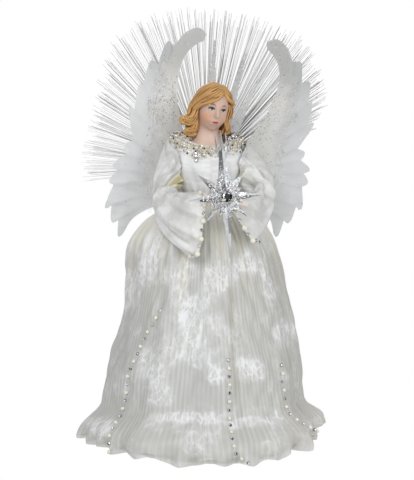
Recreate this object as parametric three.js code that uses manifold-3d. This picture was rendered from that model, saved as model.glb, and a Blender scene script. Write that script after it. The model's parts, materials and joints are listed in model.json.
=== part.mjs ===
// Angel tree topper: a doll-headed angel on a hollow cone, with a folded organza gown,
// film wings, a fan of clear light fibres, an acrylic star and a battery case at the back.
// Millimetres, +Z up, the angel faces -Y, origin at the middle of the foot on the ground.

import * as THREE from 'three';
import Module from 'manifold-3d';
import { mergeVertices } from 'three/addons/utils/BufferGeometryUtils.js';

const wasm = await Module();
wasm.setup();

// Driving dimensions
const waistHeight = 228; // top of the skirt above the ground
const hemRadius = 113; // skirt at the hem
const hipRadius = 72.3; // skirt where its gathers stand out, below the hands
const skirtWall = 1.1; // organza with its folds pressed flat
const foldDepth = 6.2; // deepest skirt fold, at the hem
const liningWall = 0.9;
const liningDrop = 2.4; // lining inside the deepest fold
const coneFootRadius = 62;
const coneTopRadius = 17.6;
const coneWall = 1.8;
const footFlange = 4; // flat rim round the foot of the cone
const footThickness = 2;
const bodiceHeight = 60; // from the waist to the shoulder tops
const bodiceHalfWidth = 38;
const bodiceHalfDepth = 26;
const bodiceWall = 1;
const headHeight = 45; // hair top to chin
const armReach = 100; // shoulder to the far corner of the cuff
const armRadius = 3.4;
const armWireRadius = 1.2;
const sleeveWall = 1.1;
const handLength = 26;
const starRay = 57; // long top ray
const starThickness = 7.5;
const gemRadius = 4.6;
const gemHeight = 3.2;
const wingHeight = 138; // root to tip
const wingBreadth = 82;
const wingFilm = 0.7;
const wingWireRadius = 1.1;
const fibreLength = 156;
const fibreRadius = 0.42;
const combRadius = 21; // arc that spreads the fibres
const combDepth = 3.4; // arc, measured along a fibre
const combThickness = 1.1;
const housingWidth = 30;
const housingDepth = 15;
const housingHeight = 34;
const housingWall = 1.6;
const cellDiameter = 14.2;
const cellLength = 50.2;
const caseWall = 1.5;
const lidThickness = 1.6;
const switchTravel = 4;

// Clearances
const gap = 0.3; // between two pieces that touch
const cutGap = 0.4; // round a piece that is cut free of another
const trimGap = 0.6; // under a trim that lies on folds
const overrun = 1; // a cut runs this far past the face it opens
const coneCrownDrop = 6; // crown of the cone below the waist
const weldShare = 0.001; // of the gap, under which two points are one

// Places that several pieces share
const backShift = 8; // the wings and the light sit a little towards the angel's left
const backPlane = 27; // wing film behind the axis
const coneHeight = waistHeight - coneCrownDrop;
const bodiceBottom = waistHeight + cutGap * 2;
const shoulderShare = 0.72; // of the bodice height
const shoulderHeight = bodiceBottom + shoulderShare * bodiceHeight;
const starDropShare = 0.43; // of the arm reach, below the shoulders
const starHeight = shoulderHeight - starDropShare * armReach;
const waistSeamRadius = 21.5;

const palette = {
  organza: { color: 0xf2efe2, roughness: 0.5, metalness: 0 },
  lining: { color: 0xe9e4d2, roughness: 0.7, metalness: 0 },
  satin: { color: 0xf4f2ea, roughness: 0.4, metalness: 0 },
  cone: { color: 0xece8de, roughness: 0.6, metalness: 0 },
  porcelain: { color: 0xe6bda8, roughness: 0.45, metalness: 0 },
  wadding: { color: 0xf6f4ee, roughness: 0.9, metalness: 0 },
  foam: { color: 0xf0ede6, roughness: 0.9, metalness: 0 },
  steel: { color: 0xb9bcc0, roughness: 0.35, metalness: 1 },
  beads: { color: 0xd9cfae, roughness: 0.35, metalness: 0.4 },
  film: { color: 0xeef1f2, roughness: 0.45, metalness: 0 },
  acrylic: { color: 0xe4edf2, roughness: 0.1, metalness: 0 },
  stone: { color: 0xc9ced6, roughness: 0.05, metalness: 0.3 },
  fibre: { color: 0xf7fafc, roughness: 0.2, metalness: 0 },
  housing: { color: 0xf1f1ec, roughness: 0.5, metalness: 0 },
  board: { color: 0x2f6b46, roughness: 0.6, metalness: 0 },
  cell: { color: 0x3a4450, roughness: 0.4, metalness: 0.2 },
  button: { color: 0x2b2b2d, roughness: 0.5, metalness: 0 },
  lead: { color: 0xe8e6e0, roughness: 0.6, metalness: 0 },
};

const topper = new THREE.Group();

function rad(degrees) {
  return THREE.MathUtils.degToRad(degrees);
}

function vec(x, y, z) {
  return new THREE.Vector3(x, y, z);
}

function mix(a, b, share) {
  return a + (b - a) * share;
}

function addMesh(name, geometry, look, parent = topper) {
  const mesh = new THREE.Mesh(geometry, new THREE.MeshStandardMaterial(palette[look]));
  mesh.name = name;
  parent.add(mesh);
  return mesh;
}

// Solids from points

function geometryFromFaces(points, faces) {
  let volume = 0;
  for (const [a, b, c] of faces) {
    volume += points[a].dot(points[b].clone().cross(points[c]));
  }
  const positions = [];
  for (const [a, b, c] of faces) {
    const corners = volume < 0 ? [a, c, b] : [a, b, c];
    for (const corner of corners) positions.push(...points[corner].toArray());
  }
  const geometry = new THREE.BufferGeometry();
  geometry.setAttribute('position', new THREE.Float32BufferAttribute(positions, 3));
  geometry.computeVertexNormals();
  return geometry;
}

// A closed stack of rings with flat fans at both ends
function ringSolid(rings) {
  const points = rings.flat();
  const count = rings[0].length;
  const faces = [];
  for (let row = 0; row + 1 < rings.length; row += 1) {
    for (let i = 0; i < count; i += 1) {
      const next = (i + 1) % count;
      const low = row * count;
      const high = low + count;
      faces.push([low + i, low + next, high + next]);
      faces.push([low + i, high + next, high + i]);
    }
  }
  const last = (rings.length - 1) * count;
  for (let i = 1; i + 1 < count; i += 1) {
    faces.push([0, i + 1, i]);
    faces.push([last, last + i, last + i + 1]);
  }
  return geometryFromFaces(points, faces);
}

// A sheet with two faces, given as two grids of points [column][row]; it may close around,
// and a cell that isn't present leaves an opening with its own edge faces
function sheetSolid(outer, inner, closed, present = () => true) {
  const columns = outer.length;
  const rows = outer[0].length;
  const points = [...outer.flat(), ...inner.flat()];
  const shift = columns * rows;
  const faces = [];
  const cellColumns = closed ? columns : columns - 1;
  const at = (i, j) => ((i + columns) % columns) * rows + j;
  const has = (i, j) => {
    const inside = closed ? true : i >= 0 && i < cellColumns;
    return inside && j >= 0 && j < rows - 1 && present((i + columns) % columns, j);
  };
  const wall = (a, b) => {
    faces.push([a, b, b + shift]);
    faces.push([a, b + shift, a + shift]);
  };
  for (let i = 0; i < cellColumns; i += 1) {
    for (let j = 0; j < rows - 1; j += 1) {
      if (!has(i, j)) continue;
      const [a, b, c, d] = [at(i, j), at(i + 1, j), at(i + 1, j + 1), at(i, j + 1)];
      faces.push([a, b, c]);
      faces.push([a, c, d]);
      faces.push([a + shift, c + shift, b + shift]);
      faces.push([a + shift, d + shift, c + shift]);
      if (!has(i, j - 1)) wall(b, a);
      if (!has(i, j + 1)) wall(d, c);
      if (!has(i - 1, j)) wall(a, d);
      if (!has(i + 1, j)) wall(c, b);
    }
  }
  return geometryFromFaces(points, faces);
}

function rod(points, radius, sides, steps) {
  const path = new THREE.CatmullRomCurve3(points);
  const section = new THREE.Shape();
  for (let i = 0; i < sides; i += 1) {
    const angle = (i / sides) * Math.PI * 2;
    const place = [radius * Math.cos(angle), radius * Math.sin(angle)];
    if (i === 0) section.moveTo(...place);
    else section.lineTo(...place);
  }
  section.closePath();
  return new THREE.ExtrudeGeometry(section, { steps, extrudePath: path, bevelEnabled: false });
}

// Solid geometry for joins and cuts

function solidOf(geometry, matrix) {
  const bare = geometry.clone();
  if (matrix) bare.applyMatrix4(matrix);
  bare.deleteAttribute('normal');
  bare.deleteAttribute('uv');
  const merged = mergeVertices(bare, gap * weldShare);
  return new wasm.Manifold(new wasm.Mesh({
    numProp: 3,
    vertProperties: merged.attributes.position.array,
    triVerts: new Uint32Array(merged.index.array),
  }));
}

function geometryOf(solid) {
  const mesh = solid.getMesh();
  const geometry = new THREE.BufferGeometry();
  const positions = new THREE.Float32BufferAttribute(mesh.vertProperties, mesh.numProp);
  geometry.setAttribute('position', positions);
  geometry.setIndex([...mesh.triVerts]);
  const flat = geometry.toNonIndexed();
  flat.computeVertexNormals();
  return flat;
}

function box(width, depth, height, x, y, z) {
  return new THREE.BoxGeometry(width, depth, height).translate(x, y, z);
}

// A cylinder that lies along y
function cylinder(radius, length, sides, x, y, z) {
  return new THREE.CylinderGeometry(radius, radius, length, sides).translate(x, y, z);
}

function joined(geometries) {
  return geometries.map((geometry) => solidOf(geometry)).reduce((sum, next) => sum.add(next));
}

// Skirt: its outer face at an angle (0 in front, positive towards +X) and a height

const skirtHeightShares = [0, 0.07, 0.13, 0.184, 0.342, 0.509, 0.667, 0.78, 0.877, 0.939, 1];
const skirtLeftShares = [0.99, 1, 0.93, 0.855, 0.79, 0.69, 0.638, 0.65, 0.58, 0.455, 0.19];
const skirtRightShares = [0.92, 0.94, 0.88, 0.81, 0.755, 0.7, 0.635, 0.585, 0.51, 0.42, 0.19];
const skirtFrontShares = [0.99, 1, 0.92, 0.84, 0.762, 0.645, 0.56, 0.505, 0.42, 0.33, 0.19];
const skirtBackShares = [1.04, 1.05, 0.95, 0.85, 0.775, 0.665, 0.6, 0.555, 0.47, 0.37, 0.19];
const foldShares = [0.85, 1, 0.72, 0.5, 0.52, 0.46, 0.42, 0.4, 0.36, 0.26, 0.03];
const hipShare = 0.64;
const hemLiftShare = 0.9; // of the fold depth, where a wave of the hem stands up
const hemRise = { left: 8, right: 19 }; // of the hem above the ground, at the sides
const hemRiseShares = [1, 0.72, 0.42, 0.15, 0, 0, 0, 0, 0, 0, 0];
const skirtColumns = 48;
const skirtTrimColumns = { left: 8, front: 0, right: 5 };
const slitRow = 5; // the rear seam is left open from the hem up to this row
const rearAngle = 180; // degrees, where the seam is
const spreadAngle = 60; // degrees each side of the seam over which columns make room for the slit
const slitDegrees = [17, 17, 16.5, 16, 12.5, 3.46];
const trimRow = { left: 5, front: 4, right: 4 };
const trimThickness = 1.2;

// Two sets of folds that drift in and out of step round the skirt
const foldWaves = [
  { count: 9, phase: 0.5, share: 0.55 },
  { count: 13, phase: 2.1, share: 0.45 },
];

function foldWave(angle) {
  return foldWaves.reduce((sum, { count, phase, share }) => sum + Math.cos(count * angle + phase) * share, 0);
}

// Shares run to the hip's radius at hipShare, and from there to the hem's radius at 1
function skirtRadius(share) {
  if (share < hipShare) return hipRadius * share / hipShare;
  return mix(hipRadius, hemRadius, (share - hipShare) / (1 - hipShare));
}

function skirtBase(angle, row) {
  const depthShares = Math.cos(angle) > 0 ? skirtFrontShares : skirtBackShares;
  const sideShares = Math.sin(angle) > 0 ? skirtRightShares : skirtLeftShares;
  const side = skirtRadius(sideShares[row]);
  const depth = skirtRadius(depthShares[row]);
  const across = Math.sin(angle) / side;
  const along = Math.cos(angle) / depth;
  return 1 / Math.hypot(across, along);
}

function skirtHeight(angle, row) {
  const rise = Math.sin(angle) > 0 ? hemRise.right : hemRise.left;
  const height = skirtHeightShares[row] * waistHeight + rise * Math.sin(angle) ** 2 * hemRiseShares[row];
  if (row > 0) return height;
  return height + gap + (foldWave(angle) + 1) / 2 * hemLiftShare * foldDepth;
}

// Columns are even round the skirt, but spread away from the rear slit below its top
function skirtAngle(column, row, columns) {
  const halfCell = rearAngle / columns;
  const slit = row <= slitRow ? Math.max(slitDegrees[row], halfCell) : halfCell;
  const share = column / (columns - 1);
  const even = mix(halfCell - rearAngle, rearAngle - halfCell, share);
  const spread = mix(slit - rearAngle, rearAngle - slit, share);
  const backness = Math.min(1, Math.max(0, 1 - (rearAngle - Math.abs(even)) / spreadAngle));
  return rad(mix(even, spread, backness));
}

function skirtPoint(angle, row, inward, waves = 1) {
  const wave = foldWave(angle) * foldShares[row] * foldDepth * waves;
  const radius = skirtBase(angle, row) + wave - inward;
  return vec(radius * Math.sin(angle), -radius * Math.cos(angle), skirtHeight(angle, row));
}

function skirtSheet(columns, inward, wall, waves) {
  const grid = (depth) => {
    const all = [];
    for (let i = 0; i < columns; i += 1) {
      const line = [];
      for (let j = 0; j < skirtHeightShares.length; j += 1) {
        line.push(skirtPoint(skirtAngle(i, j, columns), j, depth(j), waves));
      }
      all.push(line);
    }
    return all;
  };
  const present = (i, j) => i !== columns - 1 || j >= slitRow;
  return sheetSolid(grid((j) => inward(j)), grid((j) => inward(j) + wall), true, present);
}

function skirtOrganza() {
  return skirtSheet(skirtColumns, () => 0, skirtWall, 1);
}

const liningColumns = 26;

function skirtLining() {
  const rows = skirtHeightShares.length - 1;
  const inward = (row) => foldShares[row] * foldDepth + skirtWall + mix(liningDrop, gap * 2, row / rows);
  return skirtSheet(liningColumns, inward, liningWall, 0);
}

// The skirt as one full body, for cutting what lies on it
function skirtKeepOut() {
  const rings = [];
  for (let row = 0; row < skirtHeightShares.length; row += 1) {
    const ring = [];
    for (let i = 0; i < skirtColumns; i += 1) {
      ring.push(skirtPoint(skirtAngle(i, row, skirtColumns), row, -cutGap));
    }
    rings.push(ring);
  }
  return solidOf(ringSolid(rings));
}

// A beaded ribbon that runs up one cell column of the skirt, centred in the cell
function skirtTrim(column, topRow) {
  const middle = Math.floor(skirtColumns / 2) + column;
  const acrossShares = [0.22, 0.5, 0.78];
  const grid = (outward) => acrossShares.map((share) => {
    const line = [];
    for (let row = 0; row <= topRow; row += 1) {
      const a = skirtPoint(skirtAngle(middle - 1, row, skirtColumns), row, 0);
      const b = skirtPoint(skirtAngle(middle, row, skirtColumns), row, 0);
      const place = a.clone().lerp(b, share);
      const out = vec(place.x, place.y, 0).normalize().multiplyScalar(outward);
      line.push(place.add(out));
    }
    return line;
  });
  return sheetSolid(grid(trimGap + trimThickness), grid(trimGap), false);
}

// Cone: hollow, closed at the crown, with a flat foot and a pad for the battery case

const coneSlope = Math.atan((coneFootRadius - coneTopRadius) / coneHeight);
const padRise = 2.5;
const padWidth = 44;
const padHeight = 66;
const padRoot = 12.5; // the pad's block reaches this far into the cone before it is trimmed
const caseCentreHeight = 54; // middle of the battery case above the ground

function coneRadiusAt(height) {
  return mix(coneFootRadius, coneTopRadius, height / coneHeight);
}

// Frame of the battery case: x across, y outwards, z up the slope of the cone
function caseFrame() {
  const out = coneRadiusAt(caseCentreHeight) + padRise / Math.cos(coneSlope);
  const matrix = new THREE.Matrix4().makeRotationX(coneSlope);
  matrix.setPosition(0, out, caseCentreHeight);
  return matrix;
}

function coneShell() {
  const segments = 28;
  const outerProfile = [
    new THREE.Vector2(0, 0),
    new THREE.Vector2(coneFootRadius + footFlange, 0),
    new THREE.Vector2(coneFootRadius + footFlange, footThickness),
    new THREE.Vector2(coneRadiusAt(footThickness), footThickness),
    new THREE.Vector2(coneTopRadius, coneHeight - coneWall),
    new THREE.Vector2(coneTopRadius - coneWall, coneHeight),
    new THREE.Vector2(0, coneHeight),
  ];
  const innerTop = coneHeight - coneWall * 2;
  const innerProfile = [
    new THREE.Vector2(0, -overrun),
    new THREE.Vector2(coneRadiusAt(-overrun) - coneWall, -overrun),
    new THREE.Vector2(coneRadiusAt(innerTop) - coneWall, innerTop),
    new THREE.Vector2(0, innerTop),
  ];
  const outer = solidOf(new THREE.LatheGeometry(outerProfile, segments).rotateX(rad(90)));
  const inner = solidOf(new THREE.LatheGeometry(innerProfile, segments).rotateX(rad(90)));
  const pad = box(padWidth, padRoot, padHeight, 0, -padRoot / 2, 0);
  const drill = joined(caseScrewPlaces().map(([x, z]) => (
    cylinder(screwShankRadius + gap, screwLength * 2, boreSides, x, 0, z)
  )));
  const padSolid = solidOf(pad, caseFrame()).subtract(moved(drill, caseFrame()));
  return geometryOf(outer.subtract(inner).add(padSolid).subtract(inner)
    .subtract(moved(drill, caseFrame())));
}

function moved(solid, matrix) {
  return solid.transform(matrix.toArray());
}

// Battery case: a tray that opens outwards, with a bay for three cells and one for the switch

const cellSpacing = 0.6;
const bayMargin = 0.8;
const contactSpace = 3; // for the plates at the ends of the cells
const cellPitch = cellDiameter + cellSpacing;
const bayWidth = cellPitch * 3 + bayMargin;
const bayDepth = cellDiameter + cellSpacing;
const bayHeight = cellLength + contactSpace;
const switchBayHeight = 12;
const caseLip = 1.2;
const lipReach = 1.8;
const leadRadius = 0.9;
const screwShankRadius = 1.2;
const screwHeadRadius = 2.5;
const screwHeadHeight = 1.5;
const screwLength = 6.5;
const screwSides = 8;
const headSides = 12;
const boreSides = 10;
const caseScrewShare = 0.36; // of the bay's width, from its middle
const switchBodySize = [13, 6, 6];
const slotWidth = 9;
const slotHeight = 4;
const knobWidth = 3.4;
const knobFlange = 1.4;
const knobLap = 1.6; // the flange is this much larger than the knob
const knobRoot = 1;
const knobProud = 2;

function caseSize() {
  const height = bayHeight + switchBayHeight + caseWall * 3;
  const floor = -height / 2;
  return {
    width: bayWidth + caseWall * 2,
    height,
    trayDepth: caseWall + bayDepth,
    depth: caseWall + bayDepth + gap * 2 + lidThickness + caseLip,
    floor,
    bayBottom: floor + caseWall,
    bayTop: floor + caseWall + bayHeight,
    switchBottom: floor + caseWall * 2 + bayHeight,
    top: height / 2,
  };
}

function caseScrewPlaces() {
  const size = caseSize();
  const z = size.switchBottom + switchBayHeight / 2;
  return [[-bayWidth * caseScrewShare, z], [bayWidth * caseScrewShare, z]];
}

function batteryCase() {
  const size = caseSize();
  const middle = gap + size.depth / 2;
  const block = solidOf(box(size.width, size.depth, size.height, 0, middle, 0));
  const bay = box(bayWidth, size.depth, bayHeight, 0, gap + caseWall + size.depth / 2,
    size.bayBottom + bayHeight / 2);
  const switchDepth = size.depth - caseWall * 2;
  const switchBay = box(bayWidth, switchDepth, switchBayHeight, 0, gap + caseWall + switchDepth / 2,
    size.switchBottom + switchBayHeight / 2);
  const lidSpace = lidThickness + gap * 2;
  const lidTop = size.bayTop + caseWall - gap;
  const lidChannel = box(bayWidth, lidSpace, lidTop - size.floor + overrun, 0,
    gap + size.trayDepth + lidSpace / 2, (lidTop + size.floor - overrun) / 2);
  const window = box(bayWidth - lipReach * 2, size.depth, size.bayTop - size.floor + overrun, 0,
    gap + size.trayDepth + size.depth / 2, (size.bayTop + size.floor - overrun) / 2);
  const slot = box(slotWidth, size.depth, slotHeight, 0, gap + size.depth, switchMiddle());
  let solid = block;
  for (const cut of [bay, switchBay, lidChannel, window, slot]) solid = solid.subtract(solidOf(cut));
  for (const [x, z] of caseScrewPlaces()) {
    solid = solid.subtract(solidOf(cylinder(screwShankRadius + gap, caseWall * 4, boreSides, x, gap, z)));
  }
  const leadHole = cylinder(leadRadius + cutGap, caseWall * 4, screwSides, 0, 0, 0).rotateX(rad(90));
  leadHole.translate(leadExitX(), leadExitY(), size.top);
  return geometryOf(solid.subtract(solidOf(leadHole)));
}

function switchMiddle() {
  return caseSize().switchBottom + switchBayHeight / 2;
}

// Grip ribs across the lid
const ribShares = [0.24, 0.3, 0.36];
const ribWidthShare = 0.4;
const ribHeightShare = 0.7; // of the lid's thickness

function batteryLid() {
  const size = caseSize();
  const width = bayWidth - gap * 2;
  const bottom = size.floor;
  const top = size.bayTop + caseWall - gap * 2;
  const y = gap + size.trayDepth + gap + lidThickness / 2;
  const plate = box(width, lidThickness, top - bottom, 0, y, (top + bottom) / 2);
  const ribs = [plate];
  for (const share of ribShares) {
    ribs.push(box(width * ribWidthShare, lidThickness, lidThickness * ribHeightShare, 0,
      y + lidThickness / 2, mix(bottom, top, share)));
  }
  return geometryOf(joined(ribs));
}

function cellPlaces() {
  return [-1, 0, 1].map((step) => step * cellPitch);
}

function batteryCell(x) {
  const size = caseSize();
  const half = cellDiameter / 2;
  const nubRadius = 2.6;
  const nubHeight = 1.4;
  const rim = 0.6;
  const body = cellLength - nubHeight;
  const profile = [
    new THREE.Vector2(0, 0),
    new THREE.Vector2(half - rim, 0),
    new THREE.Vector2(half, rim),
    new THREE.Vector2(half, body - rim),
    new THREE.Vector2(half - rim, body),
    new THREE.Vector2(nubRadius, body),
    new THREE.Vector2(nubRadius, cellLength),
    new THREE.Vector2(0, cellLength),
  ];
  const bottom = size.bayBottom + (bayHeight - cellLength) / 2;
  return new THREE.LatheGeometry(profile, headSides).rotateX(rad(90))
    .translate(x, gap + caseWall + bayDepth / 2, bottom);
}

const contactThickness = 0.8;
const contactDepthShare = 0.6;

function contactPlate(atTop) {
  const size = caseSize();
  const inset = gap + contactThickness / 2;
  const z = atTop ? size.bayTop - inset : size.bayBottom + inset;
  return box(bayWidth - gap * 4, bayDepth * contactDepthShare, contactThickness,
    0, gap + caseWall + bayDepth / 2, z);
}

function switchBody() {
  const size = caseSize();
  const [width, depth, height] = switchBodySize;
  const front = gap + size.depth - caseWall - gap;
  return box(width, depth, height, 0, front - depth / 2 - knobFlange, switchMiddle());
}

function switchSlider() {
  const size = caseSize();
  const inside = gap + size.depth - caseWall;
  const x = -switchTravel / 2;
  const flange = box(knobWidth + knobLap, knobFlange - gap, slotHeight + knobLap, x,
    inside - gap - (knobFlange - gap) / 2, switchMiddle());
  const knob = box(knobWidth, knobRoot + caseWall + knobProud, slotHeight - gap * 2, x,
    inside + (caseWall + knobProud - knobRoot) / 2, switchMiddle());
  return geometryOf(joined([flange, knob]));
}

function screw(x, z) {
  const seat = gap + caseWall + gap;
  const head = cylinder(screwHeadRadius, screwHeadHeight, headSides, x, seat + screwHeadHeight / 2, z);
  const shank = cylinder(screwShankRadius, screwLength, screwSides, x,
    seat + screwHeadHeight / 2 - screwLength / 2, z);
  return geometryOf(joined([head, shank]));
}

// Lead: two fine conductors in one sleeve, from the case up the cone to the light housing

const leadAcrossShare = 0.2; // of the bay's width
const leadOutShare = 0.45; // of the bay's depth
const leadStandoff = 1.6; // off the cone
const leadSeamSpace = 5; // outside the waist seam
const leadSeamDrop = 2;
const leadTuck = 3; // into the housing
const leadTurn = 2.5; // straight length below the housing

function leadExitX() {
  return bayWidth * leadAcrossShare;
}

function leadExitY() {
  return gap + caseWall + bayDepth * leadOutShare;
}

function leadPoints() {
  const start = vec(leadExitX(), leadExitY(), caseSize().top - caseWall).applyMatrix4(caseFrame());
  const run = vec(0, -Math.sin(coneSlope), Math.cos(coneSlope));
  const riseShares = [0.05, 0.1];
  const points = [start];
  for (const share of riseShares) {
    points.push(start.clone().addScaledVector(run, share * coneHeight));
  }
  const heightShares = [0.72, 0.84, 0.93, 1];
  for (const share of heightShares) {
    const height = share * coneHeight;
    points.push(vec(leadExitX(), coneRadiusAt(height) + leadRadius + leadStandoff, height));
  }
  points.push(vec(leadExitX(), waistSeamRadius + leadSeamSpace, bodiceBottom - leadSeamDrop));
  points.push(vec(leadExitX(), housingMiddleY(), housingBottom() - leadTurn));
  points.push(vec(leadExitX(), housingMiddleY(), housingBottom() + housingWall + leadTuck));
  return points;
}

function leadWire(extra = 0) {
  return rod(leadPoints(), leadRadius + extra, 6, 22);
}

// Torso, bodice and the doll's bust

const bodiceRowShares = [0, 0.16, 0.36, 0.56, 0.72, 0.88, 1];
const bodiceWidthShares = [0.59, 0.75, 0.88, 0.965, 1, 0.965, 0.82];
const bodiceDepthShares = [0.77, 0.92, 1, 0.97, 0.92, 0.86, 0.79];
const bodiceColumns = 22;
const neckFrontShare = 0.79; // of the bodice height
const neckBackShare = 1.03;

function bodiceTop(angle) {
  const front = Math.max(0, Math.cos(angle)) ** 2;
  const back = Math.max(0, -Math.cos(angle)) ** 2;
  const side = 1 - front - back;
  return bodiceHeight * (front * neckFrontShare + back * neckBackShare + side);
}

function bodicePoint(angle, row, outward) {
  const width = bodiceWidthShares[row] * bodiceHalfWidth + outward;
  const depth = bodiceDepthShares[row] * bodiceHalfDepth + outward;
  const z = bodiceBottom + bodiceTop(angle) * bodiceRowShares[row];
  return vec(width * Math.sin(angle), -depth * Math.cos(angle), z);
}

function bodiceGrid(outward) {
  const columns = [];
  for (let i = 0; i < bodiceColumns; i += 1) {
    const angle = (i / bodiceColumns) * Math.PI * 2;
    columns.push(bodiceRowShares.map((_, row) => bodicePoint(angle, row, outward)));
  }
  return columns;
}

// The bodice has an armhole at each side
function bodice() {
  const armholes = ['left', 'right'].map((side) => solidOf(rod(armPoints(side), armRadius + gap, 8, 12)));
  const cover = solidOf(sheetSolid(bodiceGrid(0), bodiceGrid(-bodiceWall), true));
  return geometryOf(largest(cover.subtract(armholes[0]).subtract(armholes[1])));
}

function bodiceKeepOut() {
  const columns = bodiceGrid(cutGap);
  const rings = bodiceRowShares.map((_, row) => columns.map((column) => column[row]));
  return solidOf(ringSolid(rings));
}

function bandRing(radiusOut, height) {
  const ring = [];
  for (let i = 0; i < bodiceColumns; i += 1) {
    const angle = (i / bodiceColumns) * Math.PI * 2;
    const low = bodicePoint(angle, 0, radiusOut);
    const high = bodicePoint(angle, 1, radiusOut);
    ring.push(low.lerp(high, (height - bodiceBottom) / (high.z - bodiceBottom)));
  }
  return ring;
}

function waistBand() {
  const bandHeight = 5.5;
  const bandWall = 1.4;
  const low = bodiceBottom + gap;
  const high = low + bandHeight;
  const outer = bandRing(cutGap + bandWall, low).map((p, i) => [p, bandRing(cutGap + bandWall, high)[i]]);
  const inner = bandRing(cutGap, low).map((p, i) => [p, bandRing(cutGap, high)[i]]);
  return sheetSolid(outer, inner, true);
}

function ellipseRing(width, depth, x, y, z, sides) {
  const ring = [];
  for (let i = 0; i < sides; i += 1) {
    const angle = (i / sides) * Math.PI * 2;
    ring.push(vec(x + width * Math.sin(angle), y - depth * Math.cos(angle), z));
  }
  return ring;
}

const torsoRowShares = [0, 0.11, 0.24, 0.45, 0.65, 0.72];
const torsoWidthShares = [0.42, 0.43, 0.64, 0.78, 0.84, 0.7];
const torsoDepthShares = [0.5, 0.52, 0.74, 0.84, 0.8, 0.62];

function torsoForm() {
  const base = coneHeight + gap;
  const height = bodiceBottom + bodiceHeight - base;
  const rings = torsoRowShares.map((share, row) => ellipseRing(
    torsoWidthShares[row] * bodiceHalfWidth,
    torsoDepthShares[row] * bodiceHalfDepth,
    0, 0, base + share * height, 20,
  ));
  const wires = ['left', 'right'].map((side) => solidOf(rod(armPoints(side), armWireRadius + gap, 6, 12)));
  return geometryOf(solidOf(ringSolid(rings)).subtract(wires[0]).subtract(wires[1]));
}

const bustRowShares = [0.715, 0.8, 0.88, 0.94, 1, 1.1, 1.3];
const bustWidthShares = [0.84, 0.86, 0.8, 0.6, 0.36, 0.273, 0.273];
const bustDepthShares = [0.66, 0.73, 0.66, 0.52, 0.44, 0.4, 0.4];
const neckStartShare = 0.94; // of the bodice height
const neckForwardShare = 0.4; // the neck runs forward as it rises

function bustPlate() {
  const rings = bustRowShares.map((share, row) => ellipseRing(
    bustWidthShares[row] * bodiceHalfWidth,
    bustDepthShares[row] * bodiceHalfDepth,
    0, -neckForwardShare * headHeight * Math.max(0, share - neckStartShare),
    bodiceBottom + share * bodiceHeight + gap, 20,
  ));
  return ringSolid(rings);
}

function ellipsoid(centre, size) {
  const ball = new THREE.SphereGeometry(1, 14, 9).rotateX(rad(90));
  return ball.scale(...size).translate(...centre);
}

// A tapered lock of hair: an oval tube through hand-chosen places
function hairLock(places, radii) {
  const points = places.map((place) => vec(...place).multiplyScalar(headHeight));
  const path = new THREE.CatmullRomCurve3(points);
  const steps = 5;
  const sides = 6;
  const frames = path.computeFrenetFrames(steps, false);
  const rings = [];
  for (let step = 0; step <= steps; step += 1) {
    const share = step / steps;
    const centre = path.getPoint(share);
    const low = Math.min(radii.length - 2, Math.floor(share * (radii.length - 1)));
    const radius = mix(radii[low], radii[low + 1], share * (radii.length - 1) - low) * headHeight;
    const ring = [];
    for (let i = 0; i < sides; i += 1) {
      const angle = (i / sides) * Math.PI * 2;
      const side = frames.normals[step].clone().multiplyScalar(radius * Math.cos(angle));
      const up = frames.binormals[step].clone().multiplyScalar(radius * Math.sin(angle));
      ring.push(centre.clone().add(side).add(up));
    }
    rings.push(ring);
  }
  return ringSolid(rings);
}

// Places in the head are shares of its height, from the middle of the skull
const headAcrossShare = 0.067;
const headForwardShare = 0.267;
const headRiseShare = 0.515;
const headBow = 18; // the head looks down
const headRoll = 8; // and leans towards the angel's left shoulder
const headYaw = 4;

function headMatrix() {
  const euler = new THREE.Euler(rad(headBow), rad(headRoll), rad(headYaw), 'ZYX');
  const matrix = new THREE.Matrix4().makeRotationFromEuler(euler);
  const neckTop = bodiceBottom + bodiceHeight;
  return matrix.setPosition(headAcrossShare * headHeight, -headForwardShare * headHeight,
    neckTop + headRiseShare * headHeight);
}

// Rounded masses: skull and face, jaw, nose, hair cap, hair behind
const headMassShares = [
  { middle: [0, -0.02, -0.02], half: [0.335, 0.4, 0.43] },
  { middle: [0, -0.17, -0.25], half: [0.2, 0.19, 0.2] },
  { middle: [0, -0.4, -0.09], half: [0.035, 0.06, 0.07] },
  { middle: [0, 0.07, 0.07], half: [0.41, 0.43, 0.43] },
  { middle: [0, 0.2, -0.2], half: [0.37, 0.28, 0.4] },
];
const hairLockShares = [
  { line: [[0.1, -0.2, 0.44], [-0.1, -0.33, 0.32], [-0.28, -0.26, 0.16], [-0.4, -0.05, -0.05]],
    radius: [0.07, 0.13, 0.12, 0.08] },
  { line: [[0.12, -0.22, 0.43], [0.26, -0.27, 0.28], [0.38, -0.16, 0.06], [0.42, 0, -0.12]],
    radius: [0.06, 0.09, 0.09, 0.08] },
  { line: [[-0.34, -0.06, 0.08], [-0.37, -0.05, -0.16], [-0.44, -0.05, -0.28], [-0.6, -0.03, -0.24]],
    radius: [0.1, 0.12, 0.12, 0.09] },
  { line: [[-0.3, 0.05, -0.05], [-0.34, 0.02, -0.3], [-0.42, -0.04, -0.46], [-0.26, -0.08, -0.5]],
    radius: [0.12, 0.13, 0.1, 0.07] },
  { line: [[0.34, -0.02, 0], [0.35, -0.03, -0.2], [0.36, -0.06, -0.36], [0.28, -0.07, -0.5]],
    radius: [0.1, 0.11, 0.1, 0.06] },
  { line: [[0, 0.34, 0], [-0.05, 0.38, -0.25], [-0.04, 0.36, -0.5], [0.05, 0.4, -0.62]],
    radius: [0.14, 0.16, 0.14, 0.08] },
];

function headSolid() {
  const scaled = (shares) => shares.map((share) => share * headHeight);
  const masses = headMassShares.map(({ middle, half }) => ellipsoid(scaled(middle), scaled(half)));
  const locks = hairLockShares.map(({ line, radius }) => hairLock(line, radius));
  return joined([...masses, ...locks]);
}

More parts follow.
